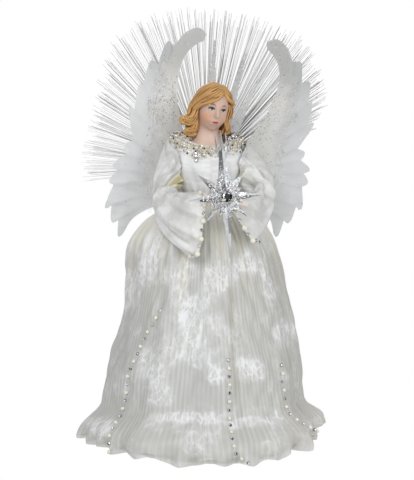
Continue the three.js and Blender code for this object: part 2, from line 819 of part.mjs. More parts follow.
function bustCasting() {
  return geometryOf(solidOf(bustPlate()).add(moved(headSolid(), headMatrix())));
}

// Neckline braid: a flat band along the top edge of the bodice
function necklineBraid(extra = 0) {
  const top = bodiceRowShares.length - 1;
  const bandWidth = 5;
  const bandWall = 1.2;
  const tiltShare = 0.55;
  const mostShare = 0.95;
  const grid = (outward) => {
    const columns = [];
    for (let i = 0; i < bodiceColumns; i += 1) {
      const angle = (i / bodiceColumns) * Math.PI * 2;
      const edge = bodicePoint(angle, top, 0);
      const below = bodicePoint(angle, top - 1, 0);
      const length = edge.distanceTo(below);
      const low = edge.clone().lerp(below, Math.min(mostShare, bandWidth / length));
      const out = vec(Math.sin(angle), -Math.cos(angle), tiltShare).normalize().multiplyScalar(outward);
      columns.push([low.add(out), edge.add(out)]);
    }
    return columns;
  };
  return sheetSolid(grid(cutGap + bandWall + extra), grid(cutGap - extra), true);
}

// Sleeves: an outer line and an inner line down each arm, in shares of the arm reach from the
// shoulder; x is measured away from the body's middle

const sleeveShares = {
  left: {
    outer: [[-0.02, 0.02, 0.14], [0.06, 0.01, 0.03], [0.125, -0.03, -0.12], [0.168, -0.09, -0.28],
      [0.175, -0.18, -0.44], [0.15, -0.28, -0.59], [0.125, -0.38, -0.71], [0.07, -0.5, -0.82],
      [-0.01, -0.6, -0.91], [-0.1, -0.64, -0.97]],
    inner: [[0.01, -0.02, -0.17], [0.01, -0.06, -0.19], [0.01, -0.11, -0.24], [0.01, -0.17, -0.29],
      [0.01, -0.25, -0.33], [0, -0.34, -0.35], [-0.01, -0.43, -0.365], [-0.035, -0.53, -0.38],
      [-0.09, -0.61, -0.39], [-0.15, -0.64, -0.4]],
    girth: [0.14, 0.15, 0.15, 0.14, 0.13, 0.12, 0.11, 0.1, 0.1, 0.1],
  },
  right: {
    outer: [[-0.02, 0.02, 0.14], [0.11, 0.01, 0.05], [0.2, -0.01, -0.06], [0.24, -0.06, -0.2],
      [0.23, -0.15, -0.35], [0.19, -0.25, -0.5], [0.13, -0.36, -0.63], [0.06, -0.48, -0.72],
      [-0.01, -0.58, -0.79], [-0.08, -0.63, -0.83]],
    inner: [[0.01, -0.02, -0.17], [0.015, -0.05, -0.18], [0.02, -0.1, -0.22], [0.025, -0.17, -0.26],
      [0.02, -0.25, -0.3], [0, -0.34, -0.34], [-0.02, -0.43, -0.36], [-0.05, -0.53, -0.38],
      [-0.11, -0.61, -0.39], [-0.17, -0.64, -0.4]],
    girth: [0.14, 0.16, 0.17, 0.16, 0.14, 0.12, 0.11, 0.1, 0.1, 0.1],
  },
};
const sleeveSides = 16;
const sideSign = { left: -1, right: 1 };
const shoulderOutShare = 0.93;

function shoulder(side) {
  return vec(sideSign[side] * bodiceHalfWidth * shoulderOutShare, 0, shoulderHeight);
}

function armPlace(side, share) {
  const [x, y, z] = share;
  return shoulder(side).add(vec(sideSign[side] * x, y, z).multiplyScalar(armReach));
}

function sleeveRing(side, station, outward) {
  const lines = sleeveShares[side];
  const outer = armPlace(side, lines.outer[station]);
  const inner = armPlace(side, lines.inner[station]);
  const before = Math.max(0, station - 1);
  const after = Math.min(lines.outer.length - 1, station + 1);
  const middleOf = (k) => armPlace(side, lines.outer[k]).add(armPlace(side, lines.inner[k])).divideScalar(2);
  const run = middleOf(after).sub(middleOf(before)).normalize();
  const spread = outer.clone().sub(inner);
  const half = spread.length() / 2 + outward;
  const long = spread.normalize();
  const wide = run.cross(long).normalize();
  const girth = lines.girth[station] * armReach + outward;
  const centre = middleOf(station);
  const ring = [];
  for (let i = 0; i < sleeveSides; i += 1) {
    const angle = (i / sleeveSides) * Math.PI * 2;
    ring.push(centre.clone()
      .addScaledVector(long, half * Math.cos(angle))
      .addScaledVector(wide, girth * Math.sin(angle)));
  }
  return ring;
}

function columnsOf(rings) {
  return rings[0].map((_, i) => rings.map((ring) => ring[i]));
}

function sleeveStations(side) {
  return sleeveShares[side].outer.map((_, station) => station);
}

function sleeve(side, keepOuts) {
  const outer = sleeveStations(side).map((station) => sleeveRing(side, station, 0));
  const inner = sleeveStations(side).map((station) => sleeveRing(side, station, -sleeveWall));
  let solid = solidOf(sheetSolid(columnsOf(outer), columnsOf(inner), true));
  for (const keepOut of keepOuts) solid = solid.subtract(keepOut);
  return geometryOf(largest(solid));
}

function largest(solid) {
  return solid.decompose().sort((a, b) => b.volume() - a.volume())[0];
}

function cuffTrim(side, skirtBody) {
  const last = sleeveShares[side].outer.length - 1;
  const bandShare = 0.4; // of the last stretch of the sleeve
  const bandWall = 1.3;
  const grid = (outward) => {
    const edge = sleeveRing(side, last, outward);
    const before = sleeveRing(side, last - 1, outward);
    return edge.map((point, i) => [point.clone().lerp(before[i], bandShare), point]);
  };
  const band = solidOf(sheetSolid(grid(cutGap + bandWall), grid(cutGap), true));
  return geometryOf(largest(band.subtract(skirtBody)));
}

// Arms: a bendable wire in a padded tube, ending in a hand

const armShares = [[-0.16, 0, -0.1], [0.055, -0.03, -0.13], [0.1, -0.12, -0.28], [0.065, -0.31, -0.44],
  [0.02, -0.5, -0.49], [-0.12, -0.65, -0.49]];

function armPoints(side) {
  return armShares.map((share) => armPlace(side, share));
}

function armWire(side) {
  return rod(armPoints(side), armWireRadius, 6, 12);
}

function tubeRings(path, radius, sides, steps, from, to) {
  const rings = [];
  for (let step = 0; step <= steps; step += 1) {
    const share = mix(from, to, step / steps);
    const centre = path.getPoint(share);
    const run = path.getTangent(share);
    const across = vec(0, 0, 1).cross(run).normalize();
    const up = run.clone().cross(across).normalize();
    const ring = [];
    for (let i = 0; i < sides; i += 1) {
      const angle = (i / sides) * Math.PI * 2;
      ring.push(centre.clone()
        .addScaledVector(across, radius * Math.cos(angle))
        .addScaledVector(up, radius * Math.sin(angle)));
    }
    rings.push(ring);
  }
  return rings;
}

const paddingShares = [0.28, 0.86];

function armPadding(side) {
  const path = new THREE.CatmullRomCurve3(armPoints(side));
  const outer = columnsOf(tubeRings(path, armRadius, 8, 7, ...paddingShares));
  const inner = columnsOf(tubeRings(path, armWireRadius + cutGap * 2, 8, 7, ...paddingShares));
  return sheetSolid(outer, inner, true);
}

// Hand: wrist, palm, thumb and four fingers, reaching in behind the star; places are along the
// hand and across it, in shares of its length
const handAimShares = [0.72, 0.42, 0.2]; // inwards, forwards, up
const handUpShares = [0, 0.3, 1];
const tipWidthShare = 0.55;
const tipLengthShare = 0.6;
const handShares = [
  { from: [0.02, 0], to: [0.3, 0], radius: 0.13 },
  { from: [0.24, 0], to: [0.52, 0.02], radius: 0.17 },
  { from: [0.34, 0.13], to: [0.58, 0.34], radius: 0.065 },
  { from: [0.5, -0.12], to: [0.756, -0.132], radius: 0.052 },
  { from: [0.5, -0.035], to: [0.807, -0.039], radius: 0.052 },
  { from: [0.5, 0.05], to: [0.822, 0.055], radius: 0.052 },
  { from: [0.5, 0.135], to: [0.771, 0.149], radius: 0.052 },
];

function hand(side) {
  const sign = sideSign[side];
  const wrist = armPlace(side, armShares[armShares.length - 1]);
  const [inShare, forwardShare, riseShare] = handAimShares;
  const reach = vec(-sign * inShare, -forwardShare, riseShare).normalize();
  const up = vec(...handUpShares).cross(reach).cross(reach).negate().normalize();
  const at = (along, rise) => wrist.clone()
    .addScaledVector(reach, along * handLength)
    .addScaledVector(up, rise * handLength);
  const capsule = (a, b, radius) => {
    const path = new THREE.LineCurve3(a, b);
    const full = tubeRings(path, radius * handLength, 6, 1, 0, 1);
    const tip = tubeRings(path, radius * handLength * tipWidthShare, 6, 1, 0, 1)[1];
    const push = b.clone().sub(a).normalize().multiplyScalar(radius * handLength * tipLengthShare);
    return ringSolid([...full, tip.map((point) => point.add(push))]);
  };
  const pieces = handShares.map(({ from, to, radius }) => capsule(at(...from), at(...to), radius));
  const wire = solidOf(rod(armPoints(side), armWireRadius + gap, 6, 12));
  return geometryOf(largest(joined(pieces).subtract(wire)));
}

// Star: one clear moulding, eight long rays and eight short ones, and a faceted stone

const starRayShares = [1, 0.47, 0.56, 0.47, 0.8, 0.47, 0.56, 0.47];
const starShortShare = 0.25;
const starValleyShare = 0.125;
const starHubShare = 0.1;
const starLean = 5;
const gemGirdleShare = 0.35;
const gemTableShare = 0.55;

function starBody() {
  const count = starRayShares.length;
  const points = [];
  const ringOf = (radiusAt, y, steps) => {
    const start = points.length;
    for (let i = 0; i < steps; i += 1) {
      const angle = (i / steps) * Math.PI * 2;
      const radius = radiusAt(i) * starRay;
      points.push(vec(radius * Math.sin(angle), y, radius * Math.cos(angle)));
    }
    return start;
  };
  const perRay = 4;
  const steps = count * perRay;
  const rimShare = (i) => {
    if (i % perRay === 0) return starRayShares[i / perRay];
    return i % perRay === perRay / 2 ? starShortShare : starValleyShare;
  };
  const rim = ringOf(rimShare, 0, steps);
  const front = ringOf(() => starHubShare, -starThickness / 2, steps);
  const back = ringOf(() => starHubShare, starThickness / 2, steps);
  const faces = [];
  for (let i = 0; i < steps; i += 1) {
    const next = (i + 1) % steps;
    faces.push([rim + i, rim + next, front + next]);
    faces.push([rim + i, front + next, front + i]);
    faces.push([rim + i, back + next, rim + next]);
    faces.push([rim + i, back + i, back + next]);
  }
  for (let i = 1; i + 1 < steps; i += 1) {
    faces.push([front, front + i, front + i + 1]);
    faces.push([back, back + i + 1, back + i]);
  }
  return geometryFromFaces(points, faces);
}

function starGem() {
  const seat = starThickness / 2 + gap;
  const profile = [
    new THREE.Vector2(0, seat),
    new THREE.Vector2(gemRadius, seat),
    new THREE.Vector2(gemRadius, seat + gemHeight * gemGirdleShare),
    new THREE.Vector2(gemRadius * gemTableShare, seat + gemHeight),
    new THREE.Vector2(0, seat + gemHeight),
  ];
  return new THREE.LatheGeometry(profile, 12).rotateX(rad(180));
}

// The star leans on the fingertips of both hands
function starMiddleY() {
  const reach = new THREE.Box3().setFromBufferAttribute(hand('right').attributes.position);
  return reach.min.y - gap - starThickness / 2;
}

function starGroup() {
  const group = new THREE.Group();
  group.position.set(0, starMiddleY(), starHeight);
  group.rotation.y = -rad(starLean);
  addMesh('star', starBody(), 'acrylic', group);
  addMesh('star_gem', starGem(), 'stone', group);
  topper.add(group);
}

// Wings: rows from the leading edge to the scalloped trailing edge, tip first, as shares of the
// wing's breadth and height from its root

const leadingShares = [[0.2, 0.95], [0.29, 0.9], [0.37, 0.83], [0.42, 0.74], [0.42, 0.64], [0.39, 0.53],
  [0.33, 0.43], [0.25, 0.33], [0.15, 0.22], [0.07, 0.1], [0.03, -0.02], [0.02, -0.13]];
const trailingShares = [[0.26, 1], [0.35, 0.99], [0.44, 0.95], [0.54, 0.85], [0.61, 0.885], [0.65, 0.86],
  [0.685, 0.72], [0.76, 0.75], [0.8, 0.72], [0.81, 0.58], [0.845, 0.595], [0.875, 0.56],
  [0.855, 0.42], [0.92, 0.445], [0.94, 0.41], [0.8, 0.23], [0.89, 0.205], [0.865, 0.145],
  [0.99, 0.08], [0.93, 0.045], [1, -0.02], [0.94, -0.05], [0.99, -0.195], [0.915, -0.19],
  [0.88, -0.295], [0.805, -0.285], [0.775, -0.39], [0.72, -0.38], [0.63, -0.27], [0.4, -0.19],
  [0.12, -0.15]];
const wingRootHalf = 14; // half the distance between the two roots
const wingRootRise = 22; // above the waist
const wingRootHeight = waistHeight + wingRootRise;
const wingForward = 6; // degrees, each wing turns a little forwards
const wingLeanShare = 0.2; // both wings lean towards the angel's left
const wingDropShare = 0.1;
const wingCurl = 7; // the outer edge and the tip curl forwards by this much
const wingColumnShares = [0, 0.35, 0.7, 1];
const frontWingShare = 0.6; // breadth of the short front layer
const leanSign = { left: -1, right: 1 };

function wingPoint(side, place, depth) {
  const flatU = place[0] * wingBreadth;
  const flatW = place[1] * wingHeight;
  const u = flatU + leanSign[side] * wingLeanShare * flatW;
  const w = flatW - leanSign[side] * wingDropShare * place[0] * Math.max(0, flatW);
  const curl = (place[0] ** 2 + Math.max(0, place[1]) ** 2) / 2 * wingCurl;
  const turn = rad(wingForward);
  return vec(
    backShift + sideSign[side] * (wingRootHalf + u * Math.cos(turn)),
    backPlane - flatU * Math.sin(turn) - curl + depth,
    wingRootHeight + w,
  );
}

function wingSheet(side, reachShare, depth) {
  const leading = new THREE.CatmullRomCurve3(leadingShares.map(([u, w]) => vec(u, w, 0)));
  const rows = trailingShares.map((trail, row) => {
    const lead = leading.getPointAt(row / (trailingShares.length - 1));
    return wingColumnShares.map((share) => [
      mix(lead.x, trail[0], share * reachShare),
      mix(lead.y, trail[1], share * reachShare),
    ]);
  });
  const front = rows.map((row) => row.map((place) => wingPoint(side, place, depth)));
  const back = rows.map((row) => row.map((place) => wingPoint(side, place, depth + wingFilm)));
  return sheetSolid(front, back, false);
}

// Wire behind each wing, from the boss of the light housing up the wing's rib
const wireShares = [[0.06, -0.02], [0.14, 0.1], [0.26, 0.22], [0.36, 0.34], [0.44, 0.48]];
const wireRun = 5;
const wireDrop = 2;
const wireTuck = 4; // into the boss

function wingWire(side) {
  const depth = wingFilm + gap + wingWireRadius;
  const points = wireShares.map((share) => wingPoint(side, share, depth));
  const root = points[0].clone();
  points.unshift(vec(root.x - sideSign[side] * wireRun, backPlane + depth, root.z - wireDrop));
  const inside = backShift + sideSign[side] * (bossWidth / 2 - wireTuck);
  points.unshift(vec(inside, backPlane + depth, root.z - wireDrop));
  return rod(points, wingWireRadius, 6, 16);
}

// Light housing: a box behind the bodice, with a boss to the body, a flange that backs the
// fibre combs, and a lid; it holds the lamp, its board and the ferrule of the fibres

const bossWidth = 18;
const bossHeight = 22;
const flangeThickness = 2.2;
const wingSpace = 4.8; // wings, wires and rays lie in it
const housingFront = backPlane + wingSpace;
const housingRise = 6; // above the waist
const combDrop = 7; // centre of the combs below the housing's top
const bossSink = 6; // into the hollow of the back
const screwInset = 5;
const postRadius = 2.6;
const fibreSlotDepth = 6;
const fibreSlotShare = 0.5; // of the housing's width
const boardRise = 5;
const boardThickness = 1.2;
const boardWidth = 16;
const lampSpace = 8.5; // between the board and the ferrule
const lampRadius = 2.5;
const lampHeight = 7.5;
const lampRim = 0.4;
const lampFoot = 1;
const ferruleLength = 9;
const ferruleRadius = 3;
const bundleRadius = 2;
const coverScrewLength = 7;
const boreShare = 0.8; // of the housing's depth

function housingBottom() {
  return waistHeight + housingRise;
}

function housingTop() {
  return housingBottom() + housingHeight;
}

function housingMiddleY() {
  return housingFront + housingDepth / 2;
}

function combCentreZ() {
  return housingTop() - combDrop;
}

function combFrontY() {
  return housingFront + flangeThickness + gap;
}

function housingBase() {
  const bodyDepth = housingDepth - housingWall;
  const middleZ = (housingBottom() + housingTop()) / 2;
  const front = backBodiceY() + gap;
  const block = box(housingWidth, bodyDepth, housingHeight, backShift, housingFront + bodyDepth / 2, middleZ);
  const boss = box(bossWidth, housingFront - front + housingWall, bossHeight, backShift,
    (front + housingFront + housingWall) / 2, middleZ);
  const flange = cylinder(combRadius + combDepth / 2, flangeThickness, 28, backShift,
    housingFront + flangeThickness / 2, combCentreZ());
  const inside = box(housingWidth - housingWall * 2, bodyDepth, housingHeight - housingWall * 2,
    backShift, housingFront + housingWall + bodyDepth / 2, middleZ);
  const slot = box(housingWidth * fibreSlotShare, fibreSlotDepth, housingWall * 4,
    backShift, combMiddleY(), housingTop());
  const leadHole = cylinder(leadRadius * 2, housingWall * 4, screwSides, 0, 0, 0).rotateX(rad(90))
    .translate(leadExitX(), housingMiddleY(), housingBottom());
  let solid = solidOf(block).add(solidOf(flange)).add(solidOf(boss));
  for (const cut of [inside, slot, leadHole]) solid = solid.subtract(solidOf(cut));
  for (const side of ['left', 'right']) solid = solid.subtract(solidOf(wingWireHole(side)));
  for (const [x, z] of housingScrewPlaces()) {
    const post = cylinder(postRadius, bodyDepth - housingWall, boreSides, x,
      housingFront + housingWall + (bodyDepth - housingWall) / 2 - gap, z);
    const bore = cylinder(screwShankRadius + gap, bodyDepth * boreShare, screwSides, x,
      housingFront + bodyDepth, z);
    solid = solid.add(solidOf(post)).subtract(solidOf(bore));
  }
  return geometryOf(solid.subtract(bodiceKeepOut()));
}

function backBodiceY() {
  return Math.max(...bodiceDepthShares) * bodiceHalfDepth - bossSink;
}

function combMiddleY() {
  return combFrontY() + (combThickness * fanLayers + gap * (fanLayers - 1)) / 2;
}

function wingWireHole(side) {
  const depth = wingFilm + gap + wingWireRadius;
  const z = wingRootHeight + wireShares[0][1] * wingHeight - wireDrop;
  const y = backPlane + depth;
  const length = (wireTuck + overrun) * 2;
  return cylinder(wingWireRadius + cutGap, length, screwSides, 0, 0, 0).rotateZ(rad(90))
    .translate(backShift + sideSign[side] * bossWidth / 2, y, z);
}

function housingScrewPlaces() {
  const x = housingWidth / 2 - screwInset;
  const z = housingTop() - screwInset;
  return [[backShift - x, z], [backShift + x, z]];
}

function housingCover() {
  const middleZ = (housingBottom() + housingTop()) / 2;
  const y = housingFront + housingDepth - housingWall + gap;
  let solid = solidOf(box(housingWidth, housingWall, housingHeight, backShift, y + housingWall / 2, middleZ));
  for (const [x, z] of housingScrewPlaces()) {
    solid = solid.subtract(solidOf(cylinder(screwShankRadius + gap, housingWall * 4, screwSides, x, y, z)));
  }
  return geometryOf(solid);
}

function housingScrew(place) {
  const [x, z] = place;
  const seat = housingFront + housingDepth + gap * 2;
  const head = cylinder(screwHeadRadius - gap, screwHeadHeight, headSides, x, seat + screwHeadHeight / 2, z);
  const shank = cylinder(screwShankRadius, coverScrewLength, screwSides, x,
    seat + screwHeadHeight / 2 - coverScrewLength / 2, z);
  return geometryOf(joined([head, shank]));
}

function boardHeight() {
  return housingBottom() + housingWall + boardRise;
}

function lampBoard() {
  const z = boardHeight();
  return box(boardWidth, housingDepth - housingWall * 3, boardThickness, backShift, housingMiddleY(), z);
}

function lamp() {
  const base = boardHeight() + boardThickness / 2 + gap;
  const [domeWidthShare, domeDropShare] = [0.7, 0.3];
  const profile = [
    new THREE.Vector2(0, 0),
    new THREE.Vector2(lampRadius + lampRim, 0),
    new THREE.Vector2(lampRadius + lampRim, lampFoot),
    new THREE.Vector2(lampRadius, lampFoot),
    new THREE.Vector2(lampRadius, lampHeight - lampRadius),
    new THREE.Vector2(lampRadius * domeWidthShare, lampHeight - lampRadius * domeDropShare),
    new THREE.Vector2(0, lampHeight),
  ];
  return new THREE.LatheGeometry(profile, headSides).rotateX(rad(90))
    .translate(backShift, combMiddleY(), base);
}

function ferruleBottom() {
  return boardHeight() + boardThickness / 2 + lampSpace;
}

function ferrule() {
  const base = ferruleBottom();
  const profile = [
    new THREE.Vector2(bundleRadius + gap, 0),
    new THREE.Vector2(ferruleRadius, 0),
    new THREE.Vector2(ferruleRadius, ferruleLength),
    new THREE.Vector2(bundleRadius + gap, ferruleLength),
    new THREE.Vector2(bundleRadius + gap, 0),
  ];
  return new THREE.LatheGeometry(profile, 14).rotateX(rad(90)).translate(backShift, combMiddleY(), base);
}

// Bundle: the fibres between the ferrule and the combs, packed side by side
const bundleLevelShare = 0.6;
const bundleWidthShares = [1, 1, 1.7, 2.2];
const bundleDepthShares = [1, 1, 0.8, 0.75];

function fibreBundle() {
  const base = ferruleBottom() + gap;
  const mouth = ferruleBottom() + ferruleLength;
  const top = combCentreZ() + combRadius - combDepth / 2 - bundleRadius;
  const y = combMiddleY();
  const levels = [base, mouth, mix(mouth, top, bundleLevelShare), top];
  return ringSolid(levels.map((level, i) => ellipseRing(
    bundleRadius * bundleWidthShares[i],
    bundleRadius * bundleDepthShares[i],
    backShift, y, level, 12,
  )));
}

// Fibre fan: four thin layers, each an arc with its fibres moulded in, in tufts

const fanLayers = 4;
const fanLeft = -97; // degrees from upright
const fanRight = 70;
const combMargin = 2; // degrees past the last strand
const strandsPerLayer = 75;
const strandsPerTuft = 5;
const tuftSpreadShare = 0.66; // of the step between tufts
const layerStepShare = 0.12; // each layer's tufts are turned by this much of the step
const lengthVaryShare = 0.07;
const varyRate = { strand: 2.4, layer: 1.7 };
const fanLengthShares = [0.76, 0.775, 0.77, 0.8, 0.87, 0.975, 1, 1, 0.98, 0.985, 1, 0.99, 0.94, 0.84, 0.76];

function fanReach(angle) {
  const place = ((angle - fanLeft) / (fanRight - fanLeft)) * (fanLengthShares.length - 1);
  const low = Math.min(fanLengthShares.length - 2, Math.max(0, Math.floor(place)));
  return mix(fanLengthShares[low], fanLengthShares[low + 1], place - low) * fibreLength;
}

function strandAngle(layer, strand) {
  const tuft = Math.floor(strand / strandsPerTuft);
  const within = (strand % strandsPerTuft) / (strandsPerTuft - 1) - 1 / 2;
  const step = (fanRight - fanLeft) * strandsPerTuft / strandsPerLayer;
  const turn = (layer - (fanLayers - 1) / 2) * layerStepShare;
  return fanLeft + (tuft + 1 / 2 + turn + within * tuftSpreadShare) * step;
}

// A ring that runs to one point
function needleSolid(ring, tip) {
  const faces = [[0, 2, 1]];
  for (let i = 0; i < 3; i += 1) faces.push([i, (i + 1) % 3, 3]);
  return geometryFromFaces([...ring, tip], faces);
}

function fibreStrand(layer, strand, y) {
  const angle = rad(strandAngle(layer, strand));
  const wobble = Math.sin(strand * varyRate.strand + layer * varyRate.layer);
  const vary = 1 - lengthVaryShare * Math.abs(wobble);
  const reach = fanReach(strandAngle(layer, strand)) * vary;
  const out = vec(Math.sin(angle), 0, Math.cos(angle));
  const side = vec(Math.cos(angle), 0, -Math.sin(angle));
  const hub = vec(backShift, y, combCentreZ());
  const ring = (distance, radius) => [0, 1, 2].map((corner) => {
    const turn = (corner / 3) * Math.PI * 2;
    return hub.clone().addScaledVector(out, distance)
      .addScaledVector(side, radius * Math.cos(turn))
      .add(vec(0, radius * Math.sin(turn), 0));
  });
  return needleSolid(ring(combRadius, fibreRadius), hub.clone().addScaledVector(out, reach));
}

function fibreLayer(layer) {
  const y = combFrontY() + combThickness / 2 + layer * (combThickness + gap);
  const columns = [];
  const steps = 18;
  for (let i = 0; i <= steps; i += 1) {
    const angle = rad(mix(fanLeft - combMargin, fanRight + combMargin, i / steps));
    const at = (radius, side) => vec(
      backShift + radius * Math.sin(angle), y + side * combThickness / 2,
      combCentreZ() + radius * Math.cos(angle),
    );
    const low = combRadius - combDepth / 2;
    const high = combRadius + combDepth / 2;
    columns.push({ near: [at(low, -1), at(high, -1)], far: [at(low, 1), at(high, 1)] });
  }
  let solid = solidOf(sheetSolid(columns.map((c) => c.near), columns.map((c) => c.far), false));
  const strands = [];
  for (let strand = 0; strand < strandsPerLayer; strand += 1) {
    strands.push(solidOf(fibreStrand(layer, strand, y)));
  }
  solid = wasm.Manifold.union([solid, ...strands]);
  return geometryOf(solid);
}

// Halo rays: three tapered film rays from one root, between the wings and behind the head

const rayTips = [[3, 0.88], [17.5, 0.85], [28, 0.74]]; // angle in degrees, share of the reach
const rayReach = 150;
const rayHalfWidth = 5.5;
const rayOutlineShares = [[0, 1], [0.55, 1], [0.9, 0.5]];
const rayRootRadius = 17;

function haloRays() {
  const y = housingFront - gap - wingFilm;
  const centre = [backShift, (housingBottom() + housingTop()) / 2];
  const ray = ([degrees, share]) => {
    const out = [Math.sin(rad(degrees)), Math.cos(rad(degrees))];
    const side = [out[1], -out[0]];
    const reach = share * rayReach;
    const place = (along, across) => [
      centre[0] + out[0] * along + side[0] * across,
      centre[1] + out[1] * along + side[1] * across,
    ];
    const right = rayOutlineShares.map(([along, across]) => place(reach * along, rayHalfWidth * across));
    const left = rayOutlineShares.map(([along, across]) => place(reach * along, -rayHalfWidth * across));
    const outline = [...left, place(reach, 0), ...right.reverse()];
    const shape = new THREE.Shape(outline.map(([x, z]) => new THREE.Vector2(x, z)));
    return new THREE.ExtrudeGeometry(shape, { depth: wingFilm, bevelEnabled: false })
      .rotateX(rad(90)).translate(0, y + wingFilm, 0);
  };
  const root = cylinder(rayRootRadius, wingFilm, 24, centre[0], y + wingFilm / 2, centre[1]);
  const bossHole = box(bossWidth + gap * 2, wingFilm * 4, bossHeight + gap * 2, centre[0], y, centre[1]);
  return geometryOf(joined([...rayTips.map(ray), root]).subtract(solidOf(bossHole)));
}

// Assembly

function buildSkirt(leadTool) {
  const cutFree = (geometry) => geometryOf(largest(solidOf(geometry).subtract(leadTool)));
  addMesh('cone_shell', coneShell(), 'cone');
  addMesh('skirt_lining', cutFree(skirtLining()), 'lining');
  addMesh('skirt_organza', cutFree(skirtOrganza()), 'organza');
  addMesh('waist_band', cutFree(waistBand()), 'satin');
  addMesh('skirt_trim_left', skirtTrim(-skirtTrimColumns.left, trimRow.left), 'beads');
  addMesh('skirt_trim_front', skirtTrim(skirtTrimColumns.front, trimRow.front), 'beads');
  addMesh('skirt_trim_right', skirtTrim(skirtTrimColumns.right, trimRow.right), 'beads');
}

function buildBody(keepOuts, skirtBody) {
  addMesh('torso_form', torsoForm(), 'foam');
  addMesh('bust_casting', bustCasting(), 'porcelain');
  addMesh('bodice', bodice(), 'satin');
  addMesh('neckline_braid', necklineBraid(), 'beads');
  for (const side of ['left', 'right']) {
    addMesh(`arm_wire_${side}`, armWire(side), 'steel');
    addMesh(`arm_padding_${side}`, armPadding(side), 'wadding');
    addMesh(`hand_${side}`, hand(side), 'porcelain');
    addMesh(`sleeve_${side}`, sleeve(side, keepOuts), 'satin');
    addMesh(`cuff_trim_${side}`, cuffTrim(side, skirtBody), 'beads');
  }
}

function buildBack() {
  for (const side of ['left', 'right']) {
    addMesh(`wing_back_${side}`, wingSheet(side, 1, 0), 'film');
    addMesh(`wing_front_${side}`, wingSheet(side, frontWingShare, -wingFilm - gap * 2), 'film');
    addMesh(`wing_wire_${side}`, wingWire(side), 'steel');
  }
  addMesh('halo_rays', haloRays(), 'film');
  addMesh('housing_base', housingBase(), 'housing');
  addMesh('housing_cover', housingCover(), 'housing');
  housingScrewPlaces().forEach((place, i) => addMesh(`housing_screw_${i + 1}`, housingScrew(place), 'steel'));
  addMesh('lamp_board', lampBoard(), 'board');
  addMesh('lamp', lamp(), 'acrylic');
  addMesh('fibre_ferrule', ferrule(), 'steel');
  addMesh('fibre_bundle', fibreBundle(), 'fibre');
  for (let layer = 0; layer < fanLayers; layer += 1) {
    addMesh(`fibre_fan_${layer + 1}`, fibreLayer(layer), 'fibre');
  }
}

function buildPower() {
  const group = new THREE.Group();
  group.applyMatrix4(caseFrame());
  addMesh('battery_case', batteryCase(), 'housing', group);
  addMesh('battery_lid', batteryLid(), 'housing', group);
  cellPlaces().forEach((x, i) => addMesh(`battery_cell_${i + 1}`, batteryCell(x), 'cell', group));
  addMesh('contact_plate_lower', contactPlate(false), 'steel', group);
  addMesh('contact_plate_upper', contactPlate(true), 'steel', group);
  addMesh('switch_body', switchBody(), 'button', group);
  addMesh('switch_slider', switchSlider(), 'button', group);
  caseScrewPlaces().forEach(([x, z], i) => addMesh(`case_screw_${i + 1}`, screw(x, z), 'steel', group));
  topper.add(group);
  addMesh('lead_wire', leadWire(), 'lead');
}

const leadTool = solidOf(leadWire(cutGap));
buildSkirt(leadTool);
const skirtBody = skirtKeepOut();
buildBody([bodiceKeepOut(), skirtBody, solidOf(necklineBraid(gap))], skirtBody);
starGroup();
buildBack();
buildPower();

export default topper;
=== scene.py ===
"""Looks of the angel tree topper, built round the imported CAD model.

Lengths are in millimetres, or shares of the size that they belong to. Meshes are in metres, in the model's
frame.
"""
import json
import math

import bmesh
import bpy
import numpy as np
from mathutils import Matrix, Vector
from mathutils.geometry import delaunay_2d_cdt


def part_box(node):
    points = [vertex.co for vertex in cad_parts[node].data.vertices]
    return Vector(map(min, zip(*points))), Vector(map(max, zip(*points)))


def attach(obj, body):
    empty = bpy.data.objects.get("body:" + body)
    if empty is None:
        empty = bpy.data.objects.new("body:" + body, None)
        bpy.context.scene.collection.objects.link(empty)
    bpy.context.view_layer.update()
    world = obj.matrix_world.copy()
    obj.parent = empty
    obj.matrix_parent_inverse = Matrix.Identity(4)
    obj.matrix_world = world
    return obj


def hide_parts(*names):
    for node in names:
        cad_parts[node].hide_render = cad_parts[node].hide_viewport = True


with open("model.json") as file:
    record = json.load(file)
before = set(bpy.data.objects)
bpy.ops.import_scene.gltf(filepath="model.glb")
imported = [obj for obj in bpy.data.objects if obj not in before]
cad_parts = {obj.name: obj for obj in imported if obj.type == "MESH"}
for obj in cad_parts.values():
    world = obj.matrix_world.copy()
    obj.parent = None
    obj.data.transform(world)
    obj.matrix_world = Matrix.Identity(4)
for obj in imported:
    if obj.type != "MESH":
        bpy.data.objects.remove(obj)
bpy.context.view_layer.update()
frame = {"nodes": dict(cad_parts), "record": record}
MM = 0.001
BODY = "figure"
SLOTS = {s["node"]: s["material_slot"] for s in frame["record"]["subparts"]}
SIGN = {"left": -1, "right": 1}

# Sizes shared with the model
HEM_RADIUS = 113
WAIST_HEIGHT = 228
FOLD_DEPTH = 6.2
BODICE_BOTTOM = 228.8
BODICE_HEIGHT = 60
BODICE_HALF_WIDTH = 38
BODICE_HALF_DEPTH = 26
SHOULDER_HEIGHT = 272
ARM_REACH = 100
STAR_DROP = 43
HEAD_HEIGHT = 45
HEAD_PLACE = (3, -12, 312)
HEAD_TURN = (18, 8, 4)
BACK_SHIFT = 8
BACK_PLANE = 27
WING_BREADTH = 82
WING_HEIGHT = 138
WING_ROOT = (14, 250)
WING_TURN = math.radians(6)
RAY_ROOT_HEIGHT = 251
RAY_REACH = 150
FAN_HUB_HEIGHT = 261
FAN_REACH = 156
FAN_FROM, FAN_TO = -97, 70


# Camera and stage

